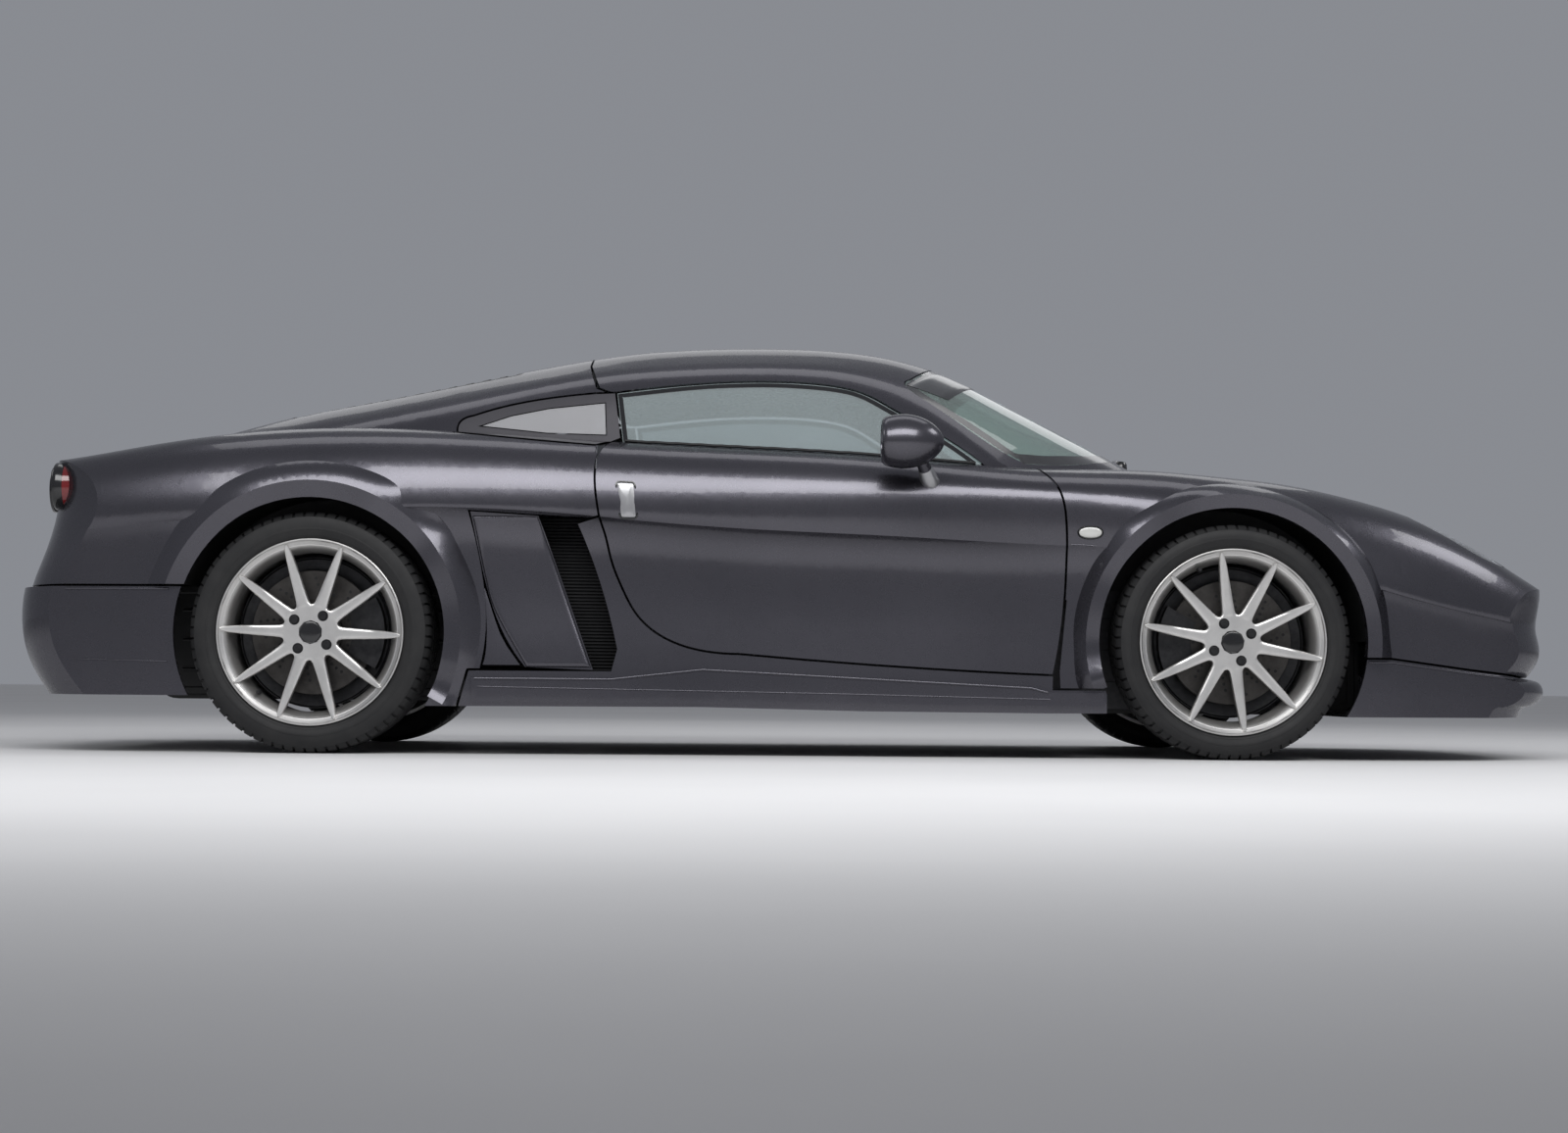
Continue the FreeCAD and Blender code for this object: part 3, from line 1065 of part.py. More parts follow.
front_side = frame_side(FRONT_X, FOOT_WELL_X, FRONT_FRAME_X, FRONT_RAIL_Y, 160, 185, 450)
front_side += wishbones(FRONT_X, TYRE_RADIUS_FRONT, FRONT_RAIL_Y + RAIL_WIDTH, 160,
                        PIN_RADIUS + RUNNING_CLEARANCE)
front_half = FRONT_RAIL_Y + RAIL_WIDTH
front_cross = [cross_member(x, 50, front_half, 180, 240)
               for x in (FRONT_X - 190, FRONT_X + 140, FRONT_FRAME_X - 50)]
tow_boss = along_x(TOW_BOSS_RADIUS, FRONT_FRAME_X - 10, TOW_FACE_X, TOW_Y, TOW_Z)
tow_hole = along_x(TOW_HOLE_RADIUS, TOW_FACE_X - TOW_HOLE_DEPTH, TOW_FACE_X, TOW_Y, TOW_Z)
front_frame = fused(front_side + [mirrored(s) for s in front_side] + front_cross + [tow_boss])
nodes["front_suspension"] = front_frame.cut(tow_hole)
rear_side = frame_side(REAR_X, REAR_FRAME_X, TUB_REAR_X - BULKHEAD_GAP, REAR_RAIL_Y, 170, 200, 470)
rear_side += wishbones(REAR_X, TYRE_RADIUS_REAR, REAR_RAIL_Y + 50, 170, PIN_RADIUS - 1)
rear_side.append(at_wheel(carrier(1), REAR_X, TYRE_RADIUS_REAR))
rear_half = REAR_RAIL_Y + RAIL_WIDTH
rear_cross = [cross_member(x, RAIL_WIDTH, rear_half, 200, 260) for x in (REAR_X + 150, REAR_X - 210)]
rear_cross.append(cross_member(REAR_FRAME_X, RAIL_WIDTH, rear_half, 262, RAIL_HIGH))
nodes["rear_suspension"] = fused(rear_side + [mirrored(s) for s in rear_side] + rear_cross)

# Engine and gearbox as one block, seats, dashboard, steering wheel and exhaust
engine = prism("Y", ENGINE_OUTLINE, -ENGINE_HALF, ENGINE_HALF + 10)
nodes["engine_block"] = engine.fuse(prism("Y", GEARBOX_OUTLINE, -GEARBOX_HALF, GEARBOX_HALF))
nodes["seats"] = pair(prism("Y", SEAT_OUTLINE, -SEAT_OUTER_Y, -SEAT_INNER_Y))


def at_column(shape):
    """Tilts a shape drawn round the z axis onto the steering column."""
    shape.rotate(Vector(0, 0, 0), Vector(0, 1, 0), STEERING_TILT)
    shape.translate(Vector(*STEERING_AT))
    return shape


steering_parts = [Part.makeTorus(STEERING_RADIUS, STEERING_GRIP),
                  Part.makeCylinder(34, 30, Vector(0, 0, -20)),
                  Part.makeCylinder(COLUMN_RADIUS, COLUMN_LENGTH)]
for k in range(STEERING_SPOKES):
    angle = 2 * math.pi * k / STEERING_SPOKES
    reach = STEERING_RADIUS - 5
    steering_parts.append(rod((0, 0, -4), (reach * math.cos(angle), reach * math.sin(angle), 0), 10))
nodes["steering_wheel"] = at_column(fused(steering_parts))
column_way = at_column(Part.makeCylinder(COLUMN_RADIUS + SEAT_GAP, 2 * COLUMN_LENGTH))
dash = prism("Y", DASH_OUTLINE, -DASH_HALF, DASH_HALF)
nodes["dashboard"] = dash.common(greenhouse(ROOF_THICKNESS + 2 * SEAT_GAP)).cut(column_way)
pipe_start = SILENCER_X[0] + 30
pipes = [along_x(PIPE_RADIUS, PIPE_END_X, pipe_start, y, PIPE_Z).cut(
    along_x(PIPE_RADIUS - PIPE_WALL, PIPE_END_X, pipe_start - 20, y, PIPE_Z)) for y in PIPE_Y]
silencer = box(SILENCER_X[0], SILENCER_X[1], -SILENCER_HALF, SILENCER_HALF, *SILENCER_Z)
hangers = [box(REAR_FRAME_X + RAIL_WIDTH + SEAT_GAP, SILENCER_X[0], y - 15, y + 15, 266, 286)
           for y in (-HANGER_Y, HANGER_Y)]
nodes["exhaust"] = fused([silencer] + hangers + pipes)

# Door mirrors: a rounded head with a flat glass face on a stalk from the shoulder
lower_clear = lower_body(-2 * SEAT_GAP)
pod_wires = []
for x, half_y, half_z in MIRROR_POD:
    ring = Part.Ellipse(Vector(0, 0, 0), half_y, half_z).toShape()
    ring.rotate(Vector(0, 0, 0), Vector(0, 0, 1), 90)
    ring.rotate(Vector(0, 0, 0), Vector(0, 1, 0), 90)
    ring.translate(Vector(x, -MIRROR_Y, MIRROR_Z))
    pod_wires.append(Part.Wire([ring]))
head = Part.makeLoft(pod_wires, True)
stalk = rod((385, -840, 700), (338, -945, 800), 17)
mirror_right = head.fuse(stalk).cut(lower_clear)
nodes["mirror_right"] = mirror_right
nodes["mirror_left"] = mirrored(mirror_right)

os.makedirs("parts", exist_ok=True)
for name, shape in nodes.items():
    shape.exportStep("parts/" + name + ".step")
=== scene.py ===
import json
import math

import bpy
from mathutils import Matrix, Vector
from mathutils.bvhtree import BVHTree


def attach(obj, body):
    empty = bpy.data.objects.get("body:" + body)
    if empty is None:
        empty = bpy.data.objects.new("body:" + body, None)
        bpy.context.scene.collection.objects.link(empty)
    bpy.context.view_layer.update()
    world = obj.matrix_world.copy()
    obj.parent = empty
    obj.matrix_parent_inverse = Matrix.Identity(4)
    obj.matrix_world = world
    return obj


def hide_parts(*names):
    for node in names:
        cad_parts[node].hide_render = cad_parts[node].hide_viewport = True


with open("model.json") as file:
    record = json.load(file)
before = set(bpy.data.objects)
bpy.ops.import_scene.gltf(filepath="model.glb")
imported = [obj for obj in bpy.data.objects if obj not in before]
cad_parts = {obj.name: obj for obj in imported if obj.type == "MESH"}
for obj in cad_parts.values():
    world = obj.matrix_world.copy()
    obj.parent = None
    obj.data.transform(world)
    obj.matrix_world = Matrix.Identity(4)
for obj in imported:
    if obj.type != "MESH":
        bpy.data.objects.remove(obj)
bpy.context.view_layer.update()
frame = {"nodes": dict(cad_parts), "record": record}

NODES = frame["nodes"]

# Places shared with the solids, in metres
FRONT_X = 1.1725
REAR_X = -1.2655
FRONT_RADIUS = 0.312
REAR_RADIUS = 0.32
FRONT_WIDTH = 0.225
REAR_WIDTH = 0.255
WHEEL_FACE = 0.905
SIDES = (("right", -1), ("left", 1))


# Camera at the photograph's place and angle
FOCAL_PIXELS = 3210.0
IMAGE_WIDTH = 1600.0
SENSOR_WIDTH = 36.0
CAMERA_PLACE = Vector((-0.0335, -9.2, 0.2))
LOOK_PIXELS = (-7, 117)  # turn of the view aside and up
PITCH = math.atan(LOOK_PIXELS[1] / FOCAL_PIXELS)
YAW = math.atan(LOOK_PIXELS[0] / FOCAL_PIXELS)
ROLL = math.radians(0.44)


def make_camera():
    level = Vector((math.sin(-YAW), math.cos(YAW), 0))
    side = Vector((math.cos(YAW), -math.sin(-YAW), 0))
    up = Vector((0, 0, 1))
    forward = level * math.cos(PITCH) + up * math.sin(PITCH)
    top = up * math.cos(PITCH) - level * math.sin(PITCH)
    right = side * math.cos(ROLL) + top * math.sin(ROLL)
    above = top * math.cos(ROLL) - side * math.sin(ROLL)
    data = bpy.data.cameras.new("camera")
    data.sensor_width = SENSOR_WIDTH
    data.lens = SENSOR_WIDTH * FOCAL_PIXELS / IMAGE_WIDTH
    camera = bpy.data.objects.new("camera", data)
    turn = Matrix((right, above, -forward)).transposed().to_4x4()
    camera.matrix_world = Matrix.Translation(CAMERA_PLACE) @ turn
    bpy.context.scene.collection.objects.link(camera)
    bpy.context.scene.camera = camera


make_camera()


# Node helpers for the materials
def set_inputs(node, values):
    """Sets plain inputs by name, such as coat_weight for Coat Weight."""
    for key, value in values.items():
        name = key.replace("_", " ").title().replace("Ior", "IOR")
        node.inputs[name].default_value = value


def mix_node(tree, blend):
    """New colour mix: its factor, its two colours and its result."""
    node = tree.nodes.new("ShaderNodeMix")
    node.data_type = "RGBA"
    node.blend_type = blend
    shown = [socket for socket in node.inputs if socket.enabled]
    factor = next(socket for socket in shown if socket.type == "VALUE")
    first, second = (socket for socket in shown if socket.type == "RGBA")
    return factor, first, second, next(socket for socket in node.outputs if socket.enabled)


class Surface:
    """One procedural material, built from a few short calls."""

    def __init__(self, name):
        self.material = bpy.data.materials.new(name)
        self.material.use_nodes = True
        self.material.diffuse_color = (0.5, 0.5, 0.5, 1)
        self.tree = self.material.node_tree
        self.join = self.tree.links.new
        self.place = self.tree.nodes.new("ShaderNodeTexCoord").outputs["Object"]

    def add(self, kind, source, socket, **values):
        """New node with one input fed and others set; gives its outputs."""
        node = self.tree.nodes.new(kind)
        set_inputs(node, values)
        self.join(source, node.inputs[socket])
        return node.outputs

    def noise(self, scale, detail=3.0, rough=0.5):
        settings = dict(scale=scale, detail=detail, roughness=rough)
        return self.add("ShaderNodeTexNoise", self.place, "Vector", **settings)["Fac"]

    def cells(self, scale, output="Distance"):
        return self.add("ShaderNodeTexVoronoi", self.place, "Vector", scale=scale)[output]

    def spread(self, source, low, high):
        return self.add("ShaderNodeMapRange", source, "Value", to_min=low, to_max=high)["Result"]

    def ramp(self, source, *stops):
        node = self.tree.nodes.new("ShaderNodeValToRGB")
        for element, (position, colour) in zip(node.color_ramp.elements, stops):
            element.position = position
            element.color = (*colour, 1)
        self.join(source, node.inputs["Fac"])
        return node.outputs["Color"]

    def product(self, first, second):
        factor, first_socket, second_socket, result = mix_node(self.tree, "MULTIPLY")
        factor.default_value = 1.0
        self.join(first, first_socket)
        self.join(second, second_socket)
        return result

    def finished(self, colour, roughness, height, strength, distance, **values):
        """The material, with colour, roughness and bumps fed and the even values set."""
        shader = self.tree.nodes["Principled BSDF"]
        bumps = self.add("ShaderNodeBump", height, "Height", strength=strength, distance=distance)
        for source, socket in ((colour, "Base Color"), (roughness, "Roughness"), (bumps["Normal"], "Normal")):
            self.join(source, shader.inputs[socket])
        set_inputs(shader, values)
        return self.material


# Materials
def paint(name, dark, light, rough):
    """Metallic paint: small flakes, faint clouding and a clear coat."""
    s = Surface(name)
    cloud = s.ramp(s.noise(2.2, 4.0), (0.3, dark), (0.75, light))
    flake = s.ramp(s.cells(1900, "Color"), (0.0, (0.88,) * 3), (1.0, (1.12,) * 3))
    return s.finished(
        s.product(cloud, flake), s.spread(s.noise(36, 5.0, 0.6), rough - 0.01, rough + 0.02),
        s.noise(900, 2.0), 0.01, 0.0002, metallic=0.86, coat_weight=0.4, coat_roughness=0.05, coat_IOR=1.5,
        specular_tint=(0.45, 0.45, 0.47, 1))


def metal(name, dark, light, rough):
    s = Surface(name)
    return s.finished(
        s.ramp(s.noise(60, 6.0, 0.65), (0.25, dark), (0.8, light)),
        s.spread(s.noise(24, 5.0, 0.6), rough - 0.05, rough + 0.08), s.noise(900, 3.0), 0.05, 0.0004, metallic=1.0)


def plastic(name, dark, light, rough, grain=900, depth=0.12, coat=0.0):
    s = Surface(name)
    return s.finished(
        s.ramp(s.noise(9, 5.0, 0.6), (0.3, dark), (0.75, light)),
        s.spread(s.noise(40, 4.0), rough - 0.05, rough + 0.07), s.cells(grain), depth, 0.0005,
        metallic=0.0, coat_weight=coat, coat_roughness=0.1)


def glazing(name, tint, rough, clear):
    """Tinted safety glass with faint dust and smears; the outer coat carries the reflections."""
    s = Surface(name)
    dusty = tuple(min(1.0, c * 1.06) for c in tint)
    return s.finished(
        s.ramp(s.noise(3.5, 5.0, 0.6), (0.3, tint), (0.8, dusty)),
        s.spread(s.noise(11, 4.0, 0.65), rough, rough + 0.02), s.noise(6, 2.0), 0.002, 0.0002,
        transmission_weight=clear, IOR=1.05, metallic=0.0, coat_weight=1.0, coat_roughness=0.01, coat_IOR=1.5)


def leather(name, dark, light):
    s = Surface(name)
    return s.finished(
        s.ramp(s.noise(18, 5.0, 0.6), (0.3, dark), (0.75, light)), s.spread(s.noise(60, 3.0), 0.42, 0.6),
        s.cells(420), 0.35, 0.0007, metallic=0.0, coat_weight=0.1, coat_roughness=0.3)


def rubber(name, dark, light, rough):
    s = Surface(name)
    return s.finished(
        s.ramp(s.noise(14, 6.0, 0.65), (0.3, dark), (0.8, light)),
        s.spread(s.noise(70, 4.0), rough - 0.06, rough + 0.08), s.noise(700, 4.0, 0.6), 0.2, 0.0005,
        metallic=0.0, specular_IOR_level=0.35)


def cast_alloy(name):
    """Satin silver wheel finish with a fine sparkle and a little brake dust."""
    s = Surface(name)
    sparkle = s.ramp(s.cells(1600, "Color"), (0.0, (0.9,) * 3), (1.0, (1.08,) * 3))
    dust = s.ramp(s.noise(7, 6.0, 0.65), (0.35, (0.6, 0.59, 0.575)), (0.7, (0.7, 0.69, 0.675)))
    return s.finished(
        s.product(dust, sparkle), s.spread(s.noise(30, 5.0), 0.3, 0.42), s.noise(500, 3.0), 0.03, 0.0004,
        metallic=0.9, coat_weight=0.35, coat_roughness=0.16)


def iron(name):
    """Brake disc face: fine grain and a slight rust tint."""
    s = Surface(name)
    return s.finished(
        s.ramp(s.noise(26, 6.0, 0.7), (0.3, (0.05, 0.047, 0.045)), (0.8, (0.095, 0.09, 0.085))),
        s.spread(s.noise(90, 3.0), 0.34, 0.5), s.noise(260, 2.0), 0.12, 0.0004, metallic=1.0)


PAINT = paint("graphite_paint", (0.077, 0.075, 0.088), (0.096, 0.093, 0.108), 0.27)
QUARTER_PAINT = paint("light_graphite", (0.13, 0.125, 0.135), (0.16, 0.155, 0.165), 0.34)
SILVER = paint("silver_paint", (0.4, 0.4, 0.41), (0.48, 0.48, 0.49), 0.3)
ALLOY = cast_alloy("satin_alloy")
CHASSIS = metal("chassis_alloy", (0.07, 0.07, 0.075), (0.12, 0.12, 0.125), 0.5)
STEEL = metal("bright_steel", (0.5, 0.49, 0.48), (0.66, 0.65, 0.63), 0.24)
BLACK_STEEL = metal("black_steel", (0.03, 0.03, 0.032), (0.06, 0.06, 0.062), 0.45)
DISC = iron("disc_iron")
ENGINE = metal("engine_metal", (0.045, 0.045, 0.045), (0.09, 0.088, 0.085), 0.55)
PLASTIC = plastic("black_plastic", (0.012, 0.012, 0.013), (0.022, 0.022, 0.023), 0.5)
GLOSS_BLACK = plastic("gloss_black", (0.006, 0.006, 0.007), (0.012, 0.012, 0.013), 0.16, 400, 0.02, 0.5)
TYRE = rubber("tyre_rubber", (0.01, 0.01, 0.011), (0.02, 0.02, 0.02), 0.62)
SEAL = rubber("seal_rubber", (0.008, 0.008, 0.009), (0.014, 0.014, 0.015), 0.5)
WINDSCREEN = glazing("windscreen_glass", (0.66, 0.82, 0.76), 0.0, 0.9)
SIDE_GLASS = glazing("side_glass", (0.66, 0.75, 0.76), 0.0, 0.76)
SMALL_GLASS = glazing("small_window_glass", (0.62, 0.62, 0.64), 0.16, 0.55)
LEATHER = leather("seat_leather", (0.018, 0.017, 0.017), (0.035, 0.033, 0.032))
DASH = leather("dash_skin", (0.012, 0.012, 0.012), (0.024, 0.023, 0.023))
RED_LENS = plastic("red_lens", (0.13, 0.004, 0.006), (0.2, 0.008, 0.01), 0.08, 260, 0.1, 0.8)
CLEAR = glazing("clear_lens", (0.86, 0.87, 0.88), 0.01, 0.985)
LENS_WHITE = plastic("repeater_white", (0.5, 0.5, 0.48), (0.58, 0.58, 0.56), 0.12, 300, 0.03, 0.8)
MUFFLER = metal("muffler_steel", (0.11, 0.108, 0.105), (0.19, 0.185, 0.18), 0.46)
MIRROR = metal("mirror_silver", (0.8, 0.81, 0.82), (0.86, 0.87, 0.88), 0.06)

BY_SLOT = {
    "body_paint": PAINT, "chassis_alloy": CHASSIS, "black_plastic": PLASTIC, "glass": SIDE_GLASS,
    "engine_metal": ENGINE, "steel_bright": STEEL, "disc_iron": DISC, "alloy": ALLOY,
    "steel_black": BLACK_STEEL, "tyre": TYRE, "silver_paint": SILVER, "trim_fabric": LEATHER,
    "lamp_red": RED_LENS, "lamp_clear": CLEAR}
BY_NODE = {
    "windscreen": WINDSCREEN, "rear_windows": SMALL_GLASS, "dashboard": DASH,
    "quarter_panels": QUARTER_PAINT, "steering_wheel": DASH, "headlamps": GLOSS_BLACK, "exhaust": MUFFLER}


def dress_nodes():
    """Gives every carried-over solid its finish from the record's slots, and smooth shading."""
    parts = frame["record"].get("subparts", [])
    slots = {part["node"]: part.get("material_slot") or part.get("slot") for part in parts}
    for name, node in NODES.items():
        node.data.materials.clear()
        node.data.materials.append(BY_NODE.get(name) or BY_SLOT.get(slots.get(name), PLASTIC))
        node.data.shade_smooth()
        node.data.set_sharp_from_angle(angle=math.radians(30))


dress_nodes()


# Mesh helpers
class Build:
    """Collects points and faces of one piece."""

    def __init__(self):
        self.points = []
        self.faces = []

    def row(self, points):
        start = len(self.points)
        self.points += [Vector(p) for p in points]
        return list(range(start, len(self.points)))

    def lift(self, found, height):
        """New point above a place found on a surface: its index, or None where nothing was found."""
        if found is None:
            return None
        return self.row([found[0] + found[1] * height])[0]

    def bridge(self, first, second, closed=True):
        """Faces between two rows, left out where a point is missing."""
        count = len(first)
        for i in range(count if closed else count - 1):
            j = (i + 1) % count
            corners = [first[i], first[j], second[j], second[i]]
            if None not in corners:
                self.faces.append(corners)

    def chain(self, rows, closed=True):
        for a, b in zip(rows, rows[1:]):
            self.bridge(a, b, closed)

    def cap(self, ring, reverse=False):
        self.faces.append(ring[::-1] if reverse else ring)

    def rows(self, rows, closed=True, caps=0):
        """Rows of points joined in turn; caps closes the last end (1) or both ends (2)."""
        made = [self.row(r) for r in rows]
        self.chain(made, closed)
        if caps == 2:
            self.cap(made[0], True)
        if caps:
            self.cap(made[-1])
        return made

    def make(self, name, material, body, slot=None, sharp=35.0, flip=False):
        """The piece as an object that rides on a body; points that no face uses are dropped."""
        used = sorted({i for face in self.faces for i in face})
        order = {old: new for new, old in enumerate(used)}
        faces = [[order[i] for i in (face[::-1] if flip else face)] for face in self.faces]
        mesh = bpy.data.meshes.new(name)
        mesh.from_pydata([tuple(self.points[i]) for i in used], [], faces)
        mesh.materials.append(material)
        mesh.update()
        mesh.shade_smooth()
        mesh.set_sharp_from_angle(angle=math.radians(sharp))
        obj = bpy.data.objects.new(name, mesh)
        bpy.context.scene.collection.objects.link(obj)
        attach(obj, body)
        return obj


def loft(name, sections, material, body, closed=True, caps=0, **options):
    build = Build()
    build.rows(sections, closed, caps)
    return build.make(name, material, body, **options)


def sheet(name, front, back, material, body, **options):
    """Closed body between two grids of points."""
    build = Build()
    front, back = build.rows(front, False), [build.row(r) for r in back]
    for a, b in zip(back, back[1:]):
        build.bridge(b, a, False)
    for a, b in ((back[0], front[0]), (front[-1], back[-1]), ([r[0] for r in front], [r[0] for r in back]),
                 ([r[-1] for r in back], [r[-1] for r in front])):
        build.bridge(a, b, False)
    return build.make(name, material, body, **options)


def circle(radius, count, turn=0.0):
    angles = [turn + 2 * math.pi * k / count for k in range(count)]
    return [(radius * math.cos(a), radius * math.sin(a)) for a in angles]


def superellipse(count, power):
    """Rounded box outline from -1 to 1 both ways."""
    return [tuple(math.copysign(abs(v) ** (2 / power), v) for v in p) for p in circle(1.0, count)]


class WheelFrame:
    """Points given as (x, depth from the outer face, z) round a hub, put at one wheel."""

    def __init__(self, end, side):
        self.x, self.z = (FRONT_X, FRONT_RADIUS) if end == "front" else (REAR_X, REAR_RADIUS)
        self.sign = dict(SIDES)[side]
        self.body = end + "_wheel_" + side
        self.label = "_%s_%s" % (end, side)

    def at(self, x, depth, z):
        return Vector((self.x + x, self.sign * (WHEEL_FACE - depth), self.z + z))

    def rings(self, build, profile, count, x=0.0, z=0.0):
        """Rings of (radius, depth) about a place, joined in turn."""
        return build.rows([[self.at(x + a, d, z + b) for a, b in circle(r, count)] for r, d in profile])

    def make(self, build, name, material, reverse=True, **options):
        return build.make(name + self.label, material, self.body, flip=(self.sign > 0) != reverse, **options)

    def capped(self, name, material, parts):
        """One piece of turned parts with closed tops: (x, z), sides and profile of each."""
        build = Build()
        for (x, z), count, profile in parts:
            build.cap(self.rings(build, profile, count, x, z)[-1], True)
        self.make(build, name, material)


# Tyres with grooves, shoulder blocks and ribbed sidewalls
TREAD_PITCHES = 68
PITCH_STEPS = (  # place in a pitch, in its groove
    (0.0, False), (0.04, True), (0.2, True), (0.24, False), (0.62, False))
TREAD_EDGES = (-0.86, -0.58, -0.5, -0.14, -0.06, 0.06, 0.14, 0.5, 0.58, 0.86)  # ribs and long grooves in turn
TREAD_SHOULDER = 0.036
TREAD_CROWN = 0.0012
GROOVE_SLOPE = 0.004
TREAD_SKEW = 0.05
GROOVE_DEPTH = 0.0065
SIDE_WALL = (
    (0.231, 0.021), (0.24, 0.0165), (0.2478, 0.0128), (0.25, 0.01), (0.253, 0.0075), (0.256, 0.0062),
    (0.2568, 0.005), (0.259, 0.0046), (0.26, 0.004), (0.27, 0.0016), (0.2708, 0.0008), (0.2745, 0.0006),
    (0.2755, 0.0012), (0.283, 0.001))
SHOULDER = (  # drop from the tyre's radius, depth, cut by the cross grooves
    (0.022, 0.0032, False), (0.015, 0.0066, False), (0.014, 0.008, True), (0.0085, 0.013, True),
    (0.004, 0.02, True), (0.0016, 0.028, True))


def cross_groove(across):
    """Depth of a cross groove at a place across the tread, -1 to 1."""
    if abs(across) > 0.62:
        return 0.006
    return 0.004 if 0.3 < abs(across) < 0.52 else 0.0


def make_tyre(end, side, radius, width):
    wheel = WheelFrame(end, side)
    wall = [(r, d, False) for r, d in SIDE_WALL] + [(radius - drop, d, cut) for drop, d, cut in SHOULDER]
    half = width / 2
    profile = [(r, d, -1.0, cut) for r, d, cut in wall]
    for number, (low, high) in enumerate(zip(TREAD_EDGES, TREAD_EDGES[1:])):
        deep = number % 2
        for across in (low + GROOVE_SLOPE, high - GROOVE_SLOPE):
            profile.append((radius - TREAD_CROWN * across * across - GROOVE_DEPTH * deep,
                            half + across * (half - TREAD_SHOULDER), across, not deep))
    profile += [(r, width - d, 1.0, cut) for r, d, cut in reversed(wall)]
    angles = [(2 * math.pi * (k + share) / TREAD_PITCHES, grooved) for k in range(TREAD_PITCHES)
              for share, grooved in PITCH_STEPS]
    build = Build()
    rows = []
    for r, d, across, cut in profile:
        ring = []
        for angle, grooved in angles:
            reach = r - (cross_groove(across) if cut and grooved else 0.0)
            turn = angle + TREAD_SKEW * abs(across)
            ring.append(wheel.at(reach * math.cos(turn), d, reach * math.sin(turn)))
        rows.append(build.row(ring))
    build.chain(rows + rows[:1])
    tyre = wheel.make(build, "tyre", TYRE, reverse=False, slot="tyre", sharp=28)
    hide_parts("%s_tyre_%s" % (end, side))


# Alloy wheels: dished rim, ten tapered spokes with rounded crotches, wheel bolts in flat black rings of painted shade
# for their recesses, cap and valve
SPOKES = 10
SPOKE_STATIONS = (  # radius, half width (None: up to the next spoke), depth of the face
    (0.03, None, 0.0205), (0.05, None, 0.0205), (0.064, None, 0.0205), (0.07, None, 0.0205),
    (0.0722, 0.02, 0.0205), (0.0745, 0.0182, 0.0204), (0.078, 0.0169, 0.0203), (0.083, 0.016, 0.0202),
    (0.096, 0.015, 0.0197), (0.12, 0.0139, 0.0186), (0.148, 0.0128, 0.017), (0.174, 0.0116, 0.015),
    (0.198, 0.0102, 0.0128), (0.215, 0.0086, 0.011), (0.227, 0.0066, 0.0094), (0.2345, 0.0042, 0.0083),
    (0.2378, 0.0022, 0.0078))
SPOKE_SHARES = (-1.0, -0.93, -0.78, -0.4, 0.0, 0.4, 0.78, 0.93, 1.0)
SPOKE_GAP = 0.004  # half the gap between spokes where their skirts reach full depth
SPOKE_BACK = 0.046
SPOKE_TAPER = 0.12
SPOKE_EDGE = 0.7
EDGE_DROP = 0.0026
SPOKE_CROWN = 0.0006
WHEEL_TURNS = {"front": (25.5, 25.0, 114.5), "rear": (-1.8, 52.7, -130.5)}  # degrees: spokes, bolts, valve
RIM_FACE = (  # radius, depth
    (0.2475, 0.0125), (0.2475, 0.0075), (0.2468, 0.0058), (0.2452, 0.0048), (0.2434, 0.005), (0.242, 0.0064),
    (0.2414, 0.009), (0.2392, 0.0112), (0.234, 0.0146), (0.227, 0.0205), (0.2205, 0.029), (0.215, 0.04),
    (0.2115, 0.052), (0.21, 0.064), (0.2108, 0.08), (0.216, 0.098))
RIM_BACK = (  # radius, distance from the inner face
    (0.216, 0.034), (0.238, 0.006), (0.247, 0.006), (0.247, 0.012), (0.2295, 0.017))
HUB_PROFILES = (
    ((0.0305, 0.0205), (0.03, 0.023), (0.03, 0.04)),
    ((0.065, 0.03), (0.074, 0.042), (0.072, 0.06), (0.021, 0.06)))
CAP_PROFILE = ((0.03, 0.024), (0.0298, 0.0192), (0.0285, 0.0178), (0.027, 0.0182), (0.0255, 0.0176),
               (0.018, 0.0166), (0.008, 0.016), (0.001, 0.0159))
VALVE_PROFILE = ((0.006, 0.048), (0.006, 0.038), (0.0042, 0.036), (0.0038, 0.026), (0.0048, 0.025),
                 (0.0048, 0.016), (0.0036, 0.015))
BOLT_CIRCLE = 0.054
VALVE_CIRCLE = 0.21
# The collar is a flat black ring on the hub face: painted shade for the bolt's recess
BOLT_AND_RECESS_SHADE_PROFILES = (  # sides, then (radius, depth): collar, socket, hexagon
    (24, ((0.0142, 0.0206), (0.0138, 0.0196), (0.0128, 0.0202), (0.012, 0.0204), (0.0098, 0.0204))),
    (24, ((0.0098, 0.0206), (0.0096, 0.016), (0.0086, 0.015), (0.0058, 0.015), (0.0056, 0.0158))),
    (6, ((0.0056, 0.0151), (0.0052, 0.0195))))


def spoke_rows(wheel, angle):
    """Cross rows of one spoke from the hub outwards: left skirt, rounded face, right skirt."""
    rows = []
    for radius, half, face in SPOKE_STATIONS:
        limit = radius * math.tan(math.pi / SPOKES)
        half = limit if half is None else min(half, limit)
        gap = min(1.0, (limit - half) / SPOKE_GAP)
        back = SPOKE_BACK - SPOKE_TAPER * max(0.0, radius - 0.1)
        skirt = face + (back - face) * gap + 0.001
        places = [(-1.0, skirt)]
        for share in SPOKE_SHARES:
            edge = max(0.0, (abs(share) - SPOKE_EDGE) / (1 - SPOKE_EDGE))
            places.append((share, face + gap * (EDGE_DROP * edge * edge - SPOKE_CROWN * (1 - share * share))))
        places.append((1.0, skirt))
        rows.append([wheel.at(radius * math.cos(angle) - share * half * math.sin(angle), depth,
                              radius * math.sin(angle) + share * half * math.cos(angle)) for share, depth in places])
    return rows


